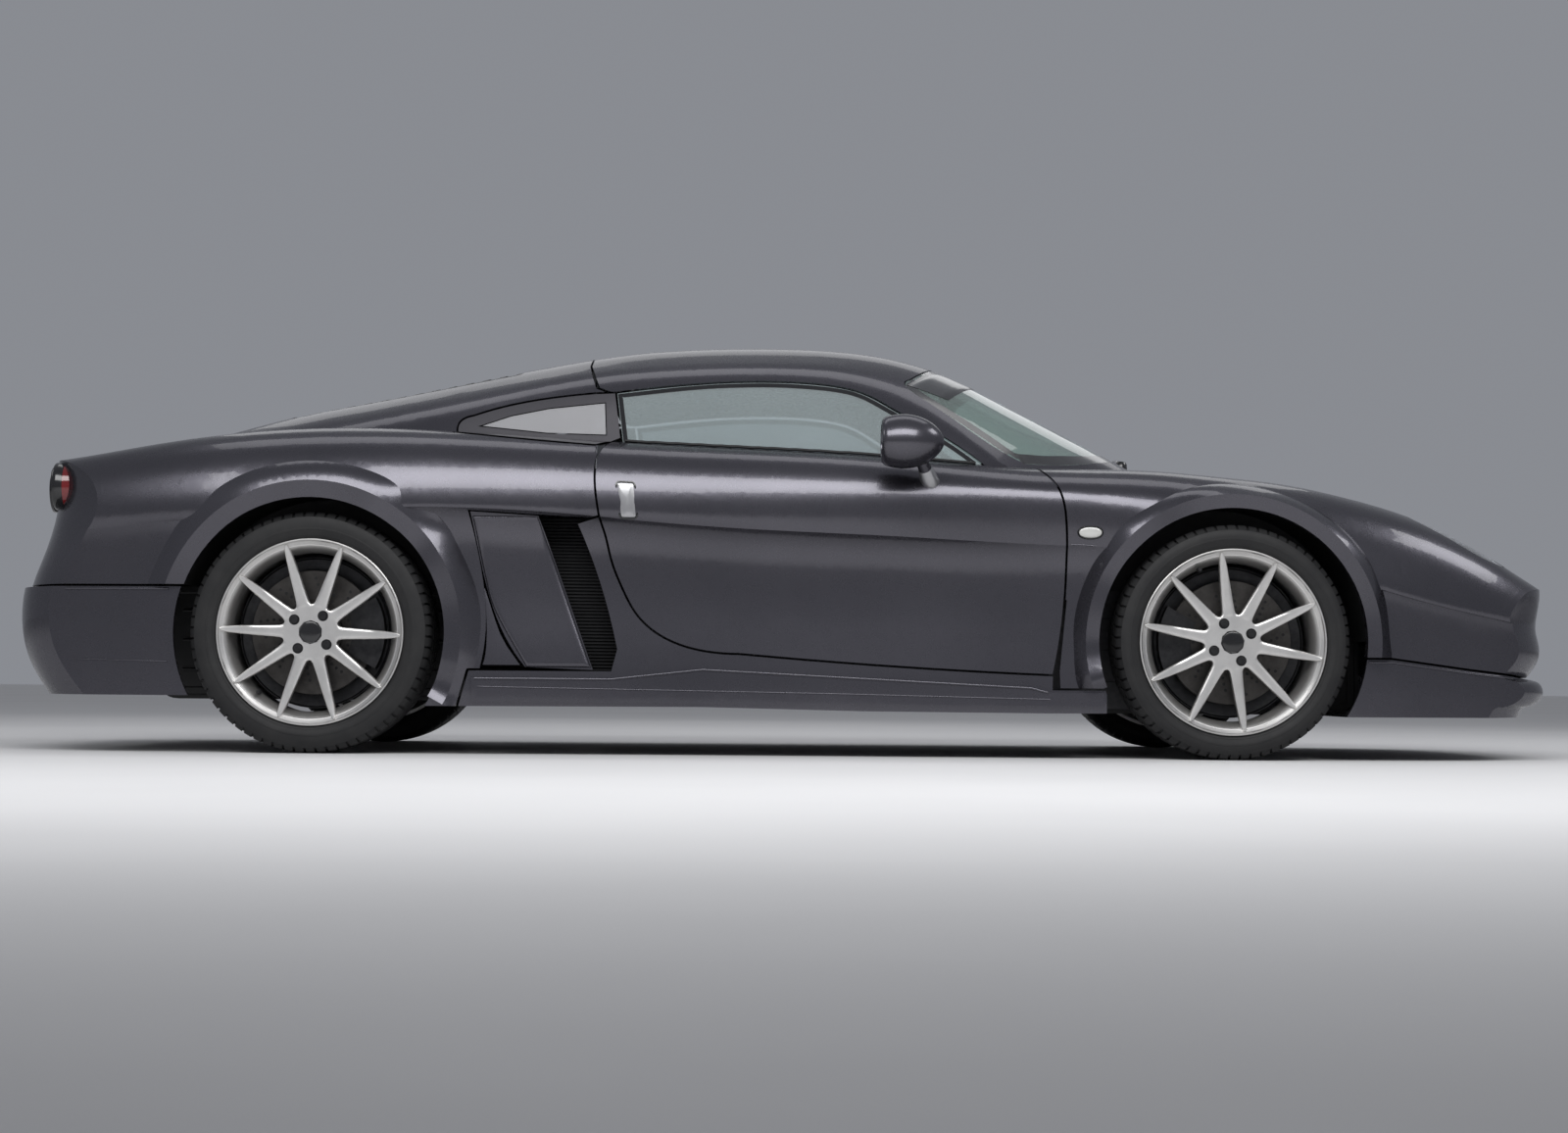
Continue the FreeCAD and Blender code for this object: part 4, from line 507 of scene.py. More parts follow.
def make_rim(end, side, width):
    wheel = WheelFrame(end, side)
    spokes_turn, bolts_turn, valve_turn = [math.radians(a) for a in WHEEL_TURNS[end]]
    build = Build()
    section = wheel.rings(build, RIM_FACE + tuple((r, width - d) for r, d in RIM_BACK) + ((0.2295, 0.017),), 144)
    build.bridge(section[-1], section[0])
    for k in range(SPOKES):
        made = build.rows(spoke_rows(wheel, spokes_turn + k * 2 * math.pi / SPOKES), closed=False)
        build.cap(made[-1])
    for profile in HUB_PROFILES:
        wheel.rings(build, profile, 60)
    rim = wheel.make(build, "rim", ALLOY, slot="alloy", sharp=32)
    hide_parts("%s_rim_%s" % (end, side))
    wheel.capped("wheel_cap", GLOSS_BLACK, [((0.0, 0.0), 48, CAP_PROFILE)])
    # Black bolt heads, each in a flat black ring on the hub face that is painted shade for the bolt recess
    wheel.capped("wheel_bolts_and_recess_shade", BLACK_STEEL, [(place, count, profile) for place in circle(BOLT_CIRCLE, 4, bolts_turn)
                                              for count, profile in BOLT_AND_RECESS_SHADE_PROFILES])
    wheel.capped("valve", SEAL, [(circle(VALVE_CIRCLE, 1, valve_turn)[0], 14, VALVE_PROFILE)])


# Drilled brake discs, the holes drawn as flat black discs of painted shade on the face; every second angle has a hole
# at the outer radius too
DISC_SECTION = (
    (0.021, 0.061), (0.073, 0.061), (0.076, 0.064), (0.078, 0.088), (0.086, 0.088), (0.0868, 0.0872),
    (0.164, 0.0872), (0.165, 0.088), (0.165, 0.0955), (0.156, 0.0956), (0.156, 0.1042), (0.165, 0.1043),
    (0.165, 0.1112), (0.164, 0.112), (0.062, 0.112), (0.06, 0.11), (0.06, 0.082), (0.021, 0.082))
# Thin black disc of painted shade, just proud of the disc face, standing for a drilled hole
HOLE_SHADE_PROFILE = ((0.0042, 0.08705), (0.0034, 0.0869))
DISC_HOLES = ((0.096, 0.0), (0.112, 0.05), (0.128, 0.1), (0.145, 0.15))
HOLE_ANGLES = 18


def make_disc(end, side):
    wheel = WheelFrame(end, side)
    build = Build()
    section = wheel.rings(build, DISC_SECTION, 120)
    build.bridge(section[-1], section[0])
    disc = wheel.make(build, "brake_disc", DISC, slot="disc_iron")
    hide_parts("%s_brake_disc_%s" % (end, side))
    # Painted shade: flat black discs where the drilled holes are
    wheel.capped("disc_hole_shades", SEAL, [
        (circle(radius, 1, 2 * math.pi * k / HOLE_ANGLES + shift)[0], 14, HOLE_SHADE_PROFILE)
        for k in range(HOLE_ANGLES) for radius, shift in (DISC_HOLES[:3] if k % 2 else DISC_HOLES)])


for end, radius, width in (("front", FRONT_RADIUS, FRONT_WIDTH), ("rear", REAR_RADIUS, REAR_WIDTH)):
    for side, sign in SIDES:
        make_tyre(end, side, radius, width)
        make_rim(end, side, width)
        make_disc(end, side)


# Pieces laid on the solids
SIDE_START = 1.3  # beyond the car's sides
TOP_START = 2.0  # above its roof
BORDER_RISE = 0.0004
BORDER_SINK = -0.0003
CORNER_STEPS = 6


def surface_of(*names):
    points, faces = [], []
    for name in names:
        mesh = NODES[name].data
        start = len(points)
        points += [v.co.copy() for v in mesh.vertices]
        faces += [[start + i for i in p.vertices] for p in mesh.polygons]
    return BVHTree.FromPolygons(points, faces)


def cast(tree, start, direction):
    """Place and outward normal where a ray first meets the surface."""
    place, normal = tree.ray_cast(Vector(start), Vector(direction))[:2]
    if place is None:
        return None
    return place, (normal if normal.dot(Vector(direction)) < 0 else -normal)


def side_probe(sign, *names):
    """Looks inwards from one side at (x, z) of the named solids."""
    tree = surface_of(*names)
    return lambda x, z: cast(tree, (x, sign * SIDE_START, z), (0, -sign, 0))


def top_probe(*names):
    """Looks down at (x, y) of the named solids."""
    tree = surface_of(*names)
    return lambda x, y: cast(tree, (x, y, TOP_START), (0, 0, -1))


def smooth_run(points, count):
    """Evenly stepped points on a curve through the given ones (Catmull-Rom)."""
    out = []
    ends = [tuple(2 * a - b for a, b in zip(points[0], points[1]))] + list(points)
    ends.append(tuple(2 * a - b for a, b in zip(points[-1], points[-2])))
    for k in range(1, len(ends) - 2):
        p0, p1, p2, p3 = ends[k - 1:k + 3]
        for i in range(count):
            t = i / count
            out.append(tuple(0.5 * (2 * b + (c - a) * t + (2 * a - 5 * b + 4 * c - d) * t * t
                                    + (3 * b - a - 3 * c + d) * t ** 3) for a, b, c, d in zip(p0, p1, p2, p3)))
    return out + [tuple(points[-1])]


def polyline(points, count):
    """Even points along straight runs, as (a, b) pairs."""
    out = []
    for (a0, b0), (a1, b1) in zip(points, points[1:]):
        out += [(a0 + (a1 - a0) * k / count, b0 + (b1 - b0) * k / count) for k in range(count)]
    return out + [points[-1]]


def closed_outline(runs, count):
    """One closed ring of points from smooth runs that meet at corners."""
    return [p for run in runs for p in smooth_run(run, count)[:-1]]


def rounded(corners, radius):
    """Closed outline with rounded corners."""
    out = []
    for i, corner in enumerate(corners):
        here, before, after = Vector(corner), Vector(corners[i - 1]), Vector(corners[(i + 1) % len(corners)])
        a = here + (before - here).normalized() * radius
        b = here + (after - here).normalized() * radius
        for k in range(CORNER_STEPS + 1):
            t = k / CORNER_STEPS
            out.append(tuple((1 - t) ** 2 * a + 2 * t * (1 - t) * here + t * t * b))
    return out


def signed_area(ring):
    return sum(a[0] * b[1] - b[0] * a[1] for a, b in zip(ring, ring[1:] + ring[:1]))


def inset_ring(ring, distance):
    sign = -distance if signed_area(ring) > 0 else distance
    out = []
    for i, (a, b) in enumerate(ring):
        before, after = ring[i - 1], ring[(i + 1) % len(ring)]
        run = math.hypot(after[0] - before[0], after[1] - before[1]) or 1.0
        out.append((a + sign * (after[1] - before[1]) / run, b - sign * (after[0] - before[0]) / run))
    return out


def laid(name, ring, levels, probe, material, body, flip, filled=False):
    """Raised band on a surface, or plate where filled: (inset, height) levels from its rim inwards."""
    build = Build()
    rows = [[build.lift(probe(a, b), height) for a, b in inset_ring(ring, inset)] for inset, height in levels]
    build.chain(rows)
    if filled:
        last = rows[-1]
        hub = build.row([sum((build.points[i] for i in last), Vector()) / len(last)])
        build.faces += [[a, b] + hub for a, b in zip(last, last[1:] + last[:1])]
    build.make(name, material, body, flip=flip)


def border(name, ring, insets, probe, body, flip):
    """Thin black band whose first and last rows sink into the surface."""
    levels = [(inset, BORDER_SINK if inset in (insets[0], insets[-1]) else BORDER_RISE) for inset in insets]
    laid(name, ring, levels, probe, GLOSS_BLACK, body, flip)


def plates(side, sign, ring, probe, body, *layers):
    """Plates over one outline, from (name, material, levels)."""
    flip = (sign < 0) == (signed_area(ring) < 0)
    for name, material, levels in layers:
        laid(name + "_" + side, ring, levels, probe, material, body, flip, filled=True)


def tube(name, path, radius, material, body, sides=12, flat=1.0):
    """Round bar along a list of points; the radius may be a list."""
    path = [Vector(p) for p in path]
    radii = radius if isinstance(radius, list) else [radius] * len(path)
    rows = []
    side = None
    for i, p in enumerate(path):
        along = (path[min(i + 1, len(path) - 1)] - path[max(i - 1, 0)]).normalized()
        side = along.orthogonal() if side is None else side - along * side.dot(along)
        side.normalize()
        other = along.cross(side)
        rows.append([p + side * (x * radii[i]) + other * (y * radii[i] * flat) for x, y in circle(1.0, sides)])
    loft(name, rows, material, body, caps=2)


def ring_at(place, axis, profile, count, name, material, body, caps=0):
    """Turned piece: (radius, along) profile about an axis through a place."""
    axis = Vector(axis).normalized()
    side = axis.orthogonal().normalized()
    other = axis.cross(side)
    rows = [[Vector(place) + axis * h + side * (x * r) + other * (y * r) for x, y in circle(1.0, count)]
            for r, h in profile]
    loft(name, rows, material, body, caps=caps, sharp=40)


def both(function):
    for side, sign in SIDES:
        function(side, sign)


# Black backing in the side intakes, with slanted ribs
INTAKE = (-0.842, -0.438, 0.221, 0.633)  # limits in x and z
INTAKE_FACE = 0.7796
INTAKE_RIBS = 46
RIB_SHAPE = ((0.0, 0.0), (0.35, 0.006), (0.5, 0.006))  # share of a pitch, depth


def intake_screen(side, sign):
    x0, x1, z0, z1 = INTAKE
    grid = []
    for i in range(INTAKE_RIBS + 1):
        for shift, depth in RIB_SHAPE:
            z = z0 + (z1 - z0) * i / INTAKE_RIBS + shift * (z1 - z0) / INTAKE_RIBS
            if z <= z1:
                grid.append([(x0 + (x1 - x0) * j / 12, sign * (INTAKE_FACE + depth), z) for j in range(13)])
    loft("intake_screen_" + side, grid, SEAL, "body", closed=False, flip=sign < 0)


both(intake_screen)


# Black border printed on the windscreen, and the seals of the door glass
SCREEN_HALF = (
    ((0.412, 0), (0.395, -0.25), (0.33, -0.47)),
    ((0.33, -0.47), (0.318, -0.535), (0.4, -0.597), (0.59, -0.66), (0.64, -0.655)),
    ((0.64, -0.655), (0.745, -0.56), (0.85, -0.42), (0.92, -0.24), (0.955, 0)))
SCREEN_RUNS = SCREEN_HALF + tuple(tuple((x, -y) for x, y in reversed(run)) for run in reversed(SCREEN_HALF))
GLASS_RUNS = (
    ((-0.475, 0.984), (-0.287, 1.006), (-0.153, 1.015), (-0.019, 1.016), (0.116, 1.006), (0.197, 0.986),
     (0.283, 0.938), (0.423, 0.855), (0.536, 0.772)),
    ((0.536, 0.772), (0.536, 0.71)), ((0.536, 0.71), (-0.454, 0.71)), ((-0.454, 0.71), (-0.454, 0.845)),
    ((-0.454, 0.845), (-0.475, 0.984)))


def glass_border(side, sign):
    border("door_glass_border_" + side, closed_outline(GLASS_RUNS, 10), (0.0015, 0.002, 0.008, 0.0135, 0.014),
           side_probe(sign, "door_glass_" + side), "door_" + side, sign < 0)


border("screen_border", closed_outline(SCREEN_RUNS, 14), (0.0045, 0.005, 0.014, 0.024, 0.0345, 0.035),
       top_probe("windscreen"), "body", True)
both(glass_border)


# Rubber lip where the door glass leaves the door
BELT_X = (-0.448, 0.52)
BELT_TOP = 0.9
BELT_STEP = 0.0015


def belt_seal(side, sign):
    glass, door = side_probe(sign, "door_glass_" + side), side_probe(sign, "door_" + side)
    path = []
    for k in range(49):
        x = BELT_X[0] + (BELT_X[1] - BELT_X[0]) * k / 48
        top = None
        for step in range(120):
            z = BELT_TOP - BELT_STEP * step
            on_glass, on_door = glass(x, z), door(x, z)
            if on_glass and (on_door is None or abs(on_glass[0].y) > abs(on_door[0].y)):
                top = on_glass
            elif on_door:
                break
        if top:
            path.append(top[0] + top[1] * 0.002 + Vector((0, 0, 0.002)))
    tube("belt_seal_" + side, path, 0.0042, SEAL, "door_" + side, sides=10)


both(belt_seal)


# Door handle: a small silver flap in a dark surround
HANDLE_CORNERS = ((-0.46, 0.723), (-0.413, 0.721), (-0.405, 0.628), (-0.448, 0.628))
HANDLE_SURROUND = ((-0.0045, -0.0005), (-0.004, 0.001), (-0.0015, 0.0014), (0.0, 0.001), (0.001, 0.0004))
HANDLE_FLAP = ((0.0018, 0.0), (0.002, 0.0026), (0.0028, 0.0036), (0.005, 0.0042), (0.01, 0.0046), (0.016, 0.0047))


def door_handle(side, sign):
    plates(side, sign, rounded(HANDLE_CORNERS, 0.009), side_probe(sign, "door_" + side), "door_" + side,
           ("handle_surround", GLOSS_BLACK, HANDLE_SURROUND), ("handle_flap", SILVER, HANDLE_FLAP))


both(door_handle)


# Lamps: chrome rings and lenses, (radius, along) profiles
PROJECTORS = ((1.798, 0.588, 0.556), (1.864, 0.592, 0.512))
PROJECTOR_RING = ((0.0386, 0.012), (0.04, 0.02), (0.04, 0.0225), (0.0385, 0.024), (0.0352, 0.023),
                  (0.0345, 0.0205))
TAIL_LAMPS = ((0.69, -1.9935), (0.54, -2.0335))
TAIL_LAMP_Z = 0.712
TAIL_BEZEL = ((0.0602, -0.034), (0.064, -0.022), (0.0642, -0.01), (0.0625, -0.0075), (0.06, -0.0095),
              (0.0585, -0.015))
TAIL_SPHERE = 0.15


def dome(radius, base, height, steps, tip):
    angles = [math.pi / 2 * k / steps for k in range(steps)]
    return [(radius * math.cos(a), base + height * math.sin(a)) for a in angles] + [(tip, base + height)]


def tail_rings():
    """Raised red rings over a shallow sphere."""
    def sag(radius):
        return math.sqrt(TAIL_SPHERE ** 2 - radius * radius) - TAIL_SPHERE

    rings = []
    for k in range(7):
        outer = 0.0585 - 0.0058 * k
        rings += [(outer, sag(outer) + 0.0004), (outer - 0.0012, sag(outer) + 0.0022),
                  (outer - 0.0046, sag(outer - 0.0046) + 0.0022), (outer - 0.0056, sag(outer - 0.0056) + 0.0006)]
    return rings


def lamp_details(side, sign):
    for number, (x, y, z) in enumerate(PROJECTORS):
        place, label = (x, sign * y, z), "_%s_%d" % (side, number + 1)
        ring_at(place, (1, 0, 0), PROJECTOR_RING, 48, "projector_ring" + label, STEEL, "front_clam")
        ring_at(place, (1, 0, 0), dome(0.0345, 0.0212, 0.02, 9, 0.0008), 40, "projector_lens" + label, CLEAR,
                "front_clam", caps=1)
    for number, (y, x) in enumerate(TAIL_LAMPS):
        place, label = (x, sign * y, TAIL_LAMP_Z), "_%s_%d" % (side, number + 1)
        ring_at(place, (-1, 0, 0), TAIL_BEZEL, 64, "tail_lamp_bezel" + label, GLOSS_BLACK, "rear_clam")
        ring_at(place, (-1, 0, 0), tail_rings(), 56, "tail_lamp_rings" + label, RED_LENS, "rear_clam")
        ring_at(place, (-1, 0, 0), dome(0.0175, -0.0005, 0.0052, 6, 0.0006), 36, "tail_lamp_centre" + label, CLEAR,
                "rear_clam", caps=1)


both(lamp_details)


# Door mirrors: rounded housing rim behind the pod with the glass set into it
MIRROR_MIDDLE = (0.2562, 0.955, 0.832)
MIRROR_RIM = (  # inset, depth
    (0.0015, 0.003), (0.0, 0.0), (0.0015, -0.006), (0.0055, -0.0125), (0.0115, -0.0172), (0.0175, -0.0188),
    (0.0205, -0.018), (0.0215, -0.015), (0.0215, -0.012))


def mirror_glass(side, sign):
    x, y, z = MIRROR_MIDDLE
    rim = [[(x + depth, sign * y + a * (0.08 - inset), z + b * (0.066 - inset)) for a, b in circle(1.0, 64)]
           for inset, depth in MIRROR_RIM]
    loft("mirror_rim_" + side, rim, PAINT, "door_" + side)
    pane = [[(x - 0.0135 - 0.0012 * (1 - share * share), sign * y + a * 0.0585 * share, z + b * 0.0445 * share)
             for a, b in circle(1.0, 64)] for share in (1.0, 0.66, 0.33, 0.02)]
    loft("mirror_glass_" + side, pane, MIRROR, "door_" + side, caps=1)


both(mirror_glass)


# Wiper
WIPER_PLAN = ((0.93, 0.24), (0.885, 0.36), (0.82, 0.46), (0.745, 0.545))
WIPER_BASE = (0.972, 0.03)
WIPER_PIVOT = ((0.02, -0.004), (0.02, 0.01), (0.017, 0.024), (0.012, 0.03), (0.0005, 0.0315))


def make_wiper():
    skin = top_probe("windscreen", "front_clamshell", "cabin_shell")
    blade, arm = [], []
    plan = smooth_run(WIPER_PLAN, 8)
    for k, (x, y) in enumerate(plan):
        place, normal = skin(x, y)
        blade.append(place + normal * 0.01)
        arm.append(place + normal * (0.024 + 0.01 * math.sin(math.pi * k / len(plan))) + Vector((0.008, 0, 0)))
    tube("wiper_blade", blade, 0.0055, SEAL, "body", sides=10)
    base = skin(*WIPER_BASE)[0]
    sweep = smooth_run([tuple(p) for p in (base + Vector((0, 0, 0.022)), base + Vector((-0.006, 0.12, 0.036)), arm[2],
                                           arm[len(arm) // 2])], 8)
    tube("wiper_arm", sweep, [0.0085 - 0.004 * k / len(sweep) for k in range(len(sweep))], GLOSS_BLACK, "body",
         flat=0.6)
    ring_at(base, (0.15, 0, 1), WIPER_PIVOT, 28, "wiper_pivot", GLOSS_BLACK, "body", caps=1)


make_wiper()


# Dark band along the top of the windscreen and the silver feet of the door mirrors
BAND_HALF = 0.52
BAND_DEPTH = 0.115


def sun_band():
    screen = top_probe("windscreen")
    build = Build()
    rows = []
    for share in (0.0, 0.004, 0.25, 0.5, 0.75, 0.996, 1.0):
        row = []
        for k in range(61):
            y = BAND_HALF * (2 * k / 60 - 1)
            top = 0.424 - 0.082 * (abs(y) / 0.47) ** 2.2
            row.append(build.lift(screen(top + BAND_DEPTH * share, y), 0.0012 if 0 < share < 1 else -0.0004))
        rows.append(row)
    build.chain(rows, False)
    build.make("sun_band", GLOSS_BLACK, "body", sharp=180, flip=True)


def mirror_foot(side, sign):
    low, high = Vector((0.385, sign * 0.84, 0.7)), Vector((0.338, sign * 0.945, 0.8))
    stations = ((0.16, 0.0255), (0.2, 0.0275), (0.44, 0.0225), (0.6, 0.0195), (0.64, 0.018))  # share, radius
    tube("mirror_foot_" + side, [low.lerp(high, t) for t, r in stations], [r for t, r in stations], SILVER,
         "door_" + side, sides=28)


sun_band()
both(mirror_foot)


# Body-coloured panel between the rear wheel flare and the blade, flush with the skin round it
FILLER_LINE = (  # left x, right x, z
    (-0.8105, -0.8075, 0.44), (-0.8045, -0.794, 0.4), (-0.801, -0.7775, 0.352), (-0.7995, -0.757, 0.303),
    (-0.8035, -0.726, 0.258), (-0.812, -0.7045, 0.228))
FILLER_JUMP = 0.03
FILLER_THICK = 0.007


def side_filler(side, sign):
    skin, blade = side_probe(sign, "rear_clamshell"), side_probe(sign, "side_blades")
    sections = []
    last = None
    for x0, x1, z in smooth_run(FILLER_LINE, 6):
        outer, inner = skin(x0 - 0.01, z), blade(x1 + 0.01, z)
        if outer is None or inner is None:
            continue
        y0, y1 = abs(outer[0].y), abs(inner[0].y) + 0.004
        last = y0 if last is None or abs(y0 - last) <= FILLER_JUMP else last
        front = [Vector((x0 + (x1 - x0) * k / 8, sign * (last + (y1 - last) * k / 8), z)) for k in range(9)]
        sections.append(front + [v - Vector((0, sign * FILLER_THICK, 0)) for v in reversed(front)])
    loft("side_filler_" + side, sections, PAINT, "rear_clam", caps=2, flip=sign > 0)


both(side_filler)


# Tray behind the mesh of the tail vent, bright exhaust tips, undertray and tray of the nose grille
VENT_STEPS = ((-2.01, 0.0), (-1.985, 0.0), (-1.975, -0.006), (-1.972, -0.012))  # x, growth
TIP_PROFILE = ((0.0385, -0.05), (0.0402, -0.048), (0.0402, -0.004), (0.0405, 0.002), (0.0395, 0.0045),
               (0.037, 0.0045), (0.0352, 0.002), (0.0335, -0.004), (0.0335, -0.06))
UNDERTRAY_X = (-1.965, -0.835)
UNDERTRAY_ROWS = (-0.505, -0.5, -0.488, -0.3, 0.0, 0.3, 0.488, 0.5, 0.505)
GRILLE_PROFILE = (  # depth, share of the height
    (0.014, 0.0), (0.004, 0.04), (0.0, 0.12), (0.0, 0.5), (0.0, 0.88), (0.004, 0.96), (0.014, 1.0))
TRAY_THICK = 0.003


def vent_backing():
    tray = [[(x, a * (0.452 + grow), 0.712 + b * (0.062 + grow)) for a, b in superellipse(96, 8.0)]
            for x, grow in VENT_STEPS]
    loft("vent_tray", tray, PLASTIC, "rear_clam", caps=1, flip=True)
    for number, y in enumerate((-0.062, 0.062)):
        ring_at((-2.085, y, 0.215), (-1, 0, 0), TIP_PROFILE, 64, "exhaust_tip_%d" % (number + 1), STEEL, "body")


def engine_undertray():
    """Ribbed panel that closes the engine bay from below."""
    top = []
    for k in range(61):
        x = UNDERTRAY_X[0] + (UNDERTRAY_X[1] - UNDERTRAY_X[0]) * k / 60
        rise = 0.1585 + 0.0035 * (0.5 + 0.5 * math.cos(2 * math.pi * k / 6)) + 0.01 * max(0.0, 1 - k / 6) ** 2
        top.append([(x, y, rise + (0.01 if abs(y) > 0.49 else 0.0)) for y in UNDERTRAY_ROWS])
    sheet("engine_undertray", top, [[(x, y, z - TRAY_THICK) for x, y, z in r] for r in top], PLASTIC, "body")


def grille_tray():
    """Dark curved wall behind the bars of the nose grille."""
    points = [v.co.copy() for v in NODES["front_grille"].data.vertices]
    low, high = min(p.z for p in points) - 0.012, max(p.z for p in points) + 0.012
    reach = max(abs(p.y) for p in points) + 0.01
    front = []
    for k in range(33):
        y = reach * (k / 16 - 1)
        x = min(p.x for p in points if abs(abs(p.y) - abs(y)) < 0.07) - 0.028
        front.append([(x + depth, y, low + (high - low) * share) for depth, share in GRILLE_PROFILE])
    sheet("grille_tray", front, [[(x - TRAY_THICK, y, z) for x, y, z in r] for r in front], PLASTIC, "front_clam")


# Domed pale lens of the wing's repeater inside a dark gasket
REPEATER_MIDDLE, REPEATER_HALF = (0.7935, 0.5985), (0.033, 0.0168)
REPEATER_GASKET = ((-0.0015, 0.0), (-0.001, 0.0012), (0.0008, 0.002), (0.0026, 0.0014), (0.0034, 0.0006))
REPEATER_LENS = ((0.003, 0.0004), (0.0034, 0.0018), (0.005, 0.0028), (0.0075, 0.0036), (0.01, 0.004))


def repeater_trim(side, sign):
    ring = [tuple(m + h * s for m, h, s in zip(REPEATER_MIDDLE, REPEATER_HALF, p)) for p in superellipse(72, 2.2)]
    plates(side, sign, ring, side_probe(sign, "lamp_lenses", "front_clamshell"), "front_clam",
           ("repeater_gasket", SEAL, REPEATER_GASKET), ("repeater_lens", LENS_WHITE, REPEATER_LENS))


vent_backing()
engine_undertray()
grille_tray()
both(repeater_trim)


# Raised faces of the blades, and the beads and creases of the lower panels
BLADE_LEFT = ((-0.846, 0.6422), (-0.812, 0.48), (-0.782, 0.38), (-0.697, 0.232))
BLADE_RIGHT = ((-0.667, 0.6323), (-0.519, 0.226))
BLADE_Z = (0.232, 0.63)
BLADE_INSET = 0.0025
BLADE_ROLL = 0.012
EDGE_STEPS = (0.0, 0.0004, 0.002, 0.0045, 0.008, 0.012, 0.016)
CREASES = (
    ("wing_crease", "front_clamshell", ((0.742, 0.566), (0.775, 0.566), (0.808, 0.563)), 0.0022, "front_clam"),
    ("splitter_bead", "front_bumper", ((1.535, 0.262), (1.6, 0.262), (1.815, 0.235), (1.95, 0.2215)), 0.0035, "body"),
    ("bumper_bead", "rear_bumper", ((-1.64, 0.432), (-1.78, 0.432), (-1.92, 0.432)), 0.0035, "body"),
    ("bumper_crease", "rear_bumper", ((-1.64, 0.24), (-1.78, 0.243), (-1.9, 0.246)), 0.0022, "body"),
    ("sill_bead", "side_skirts", ((-0.83, 0.2015), (-0.47, 0.2015), (-0.228, 0.2285), (0.1, 0.2125), (0.64, 0.1865),
                                  (0.684, 0.175)), 0.0034, "body"),
    ("sill_crease", "side_skirts", ((-0.82, 0.18), (0.1, 0.168), (0.69, 0.157)), 0.002, "body"))


def edge_steps(low, high, count):
    """Places from low to high, close together at both ends."""
    rim = EDGE_STEPS[-1]
    inner = [low + rim + (high - low - 2 * rim) * k / count for k in range(1, count)]
    return [low + d for d in EDGE_STEPS] + inner + [high - d for d in reversed(EDGE_STEPS)]


def x_at(line, z):
    """Place of a falling (x, z) line at a height."""
    for (xa, za), (xb, zb) in zip(line, line[1:]):
        if zb <= z <= za:
            return xa + (xb - xa) * (z - za) / (zb - za)
    return line[-1][0]


def blade_face(side, sign):
    """Cushioned skin over the blade: flat in the middle, rolled down all round."""
    probe = side_probe(sign, "side_blades")
    left = smooth_run(BLADE_LEFT, 40)
    low, high = BLADE_Z
    rows = []
    for z in edge_steps(low, high, 20):
        x0, x1 = x_at(left, z) + BLADE_INSET, x_at(BLADE_RIGHT, z) - BLADE_INSET
        row = []
        for x in edge_steps(x0, x1, 10):
            t = min(1.0, max(0.0, min(x - x0, x1 - x, z - low, high - z) / BLADE_ROLL))
            row.append(probe(x, z)[0] + Vector((0, sign * (0.0075 * math.sqrt(1 - (1 - t) ** 2) - 0.0005), 0)))
        rows.append(row)
    loft("blade_face_" + side, rows, PAINT, "rear_clam", closed=False, flip=sign > 0, sharp=70)


def lower_trim(side, sign):
    blade_face(side, sign)
    for name, node, points, radius, body in CREASES:
        probe = side_probe(sign, node)
        found = [probe(a, b) for a, b in polyline(points, 10)]
        path = [f[0] for f in found if f and abs(f[0].y) > 0.6]
        tube(name + "_" + side, path, radius, PAINT, body)


both(lower_trim)


# Black dust shields behind the brake discs and splash panels inboard of the wheels
DUST_PROFILE = (
    (0.056, 0.1285), (0.06, 0.1268), (0.11, 0.1268), (0.114, 0.129), (0.14, 0.129), (0.144, 0.1268),
    (0.196, 0.1268), (0.2, 0.1225), (0.2015, 0.1225), (0.2015, 0.129), (0.196, 0.131), (0.06, 0.131),
    (0.056, 0.1285))
SPLASH_STEPS = ((0.0, -0.003), (0.0, 0.0), (0.01, 0.0), (0.014, 0.003), (0.03, 0.003), (0.034, 0.0))  # inset, depth


def dust_shield(end, side):
    wheel, build = WheelFrame(end, side), Build()
    wheel.rings(build, DUST_PROFILE, 72)
    build.make("dust_shield" + wheel.label, BLACK_STEEL, "front_steer_" + side if end == "front" else "body")


def splash_panel(name, side, sign, y, x0, x1, z0, z1):
    """Upright panel with rounded corners and three pressed ribs."""
    ring = rounded(((x0, z0), (x1, z0), (x1, z1), (x0, z1)), 0.05)
    sections = [[(a, sign * (y + depth), b) for a, b in inset_ring(ring, inset)] for inset, depth in SPLASH_STEPS]
    loft("%s_splash_panel_%s" % (name, side), sections, PLASTIC, "body", caps=2, flip=sign > 0)
    for number in (1, 2, 3):
        z = z0 + (z1 - z0) * number / 4
        tube("%s_splash_rib_%s_%d" % (name, side, number),
             [(x0 + 0.06 + (x1 - x0 - 0.12) * k / 10, sign * (y + 0.0025), z) for k in range(11)], 0.004, PLASTIC,
             "body", sides=10)


for side, sign in SIDES:
    for end in ("front", "rear"):
        dust_shield(end, side)
    splash_panel("front", side, sign, 0.514, FRONT_X - 0.37, FRONT_X + 0.4, 0.118, 0.466)
    splash_panel("rear", side, sign, 0.542, REAR_X - 0.46, REAR_X + 0.375, 0.14, 0.462)


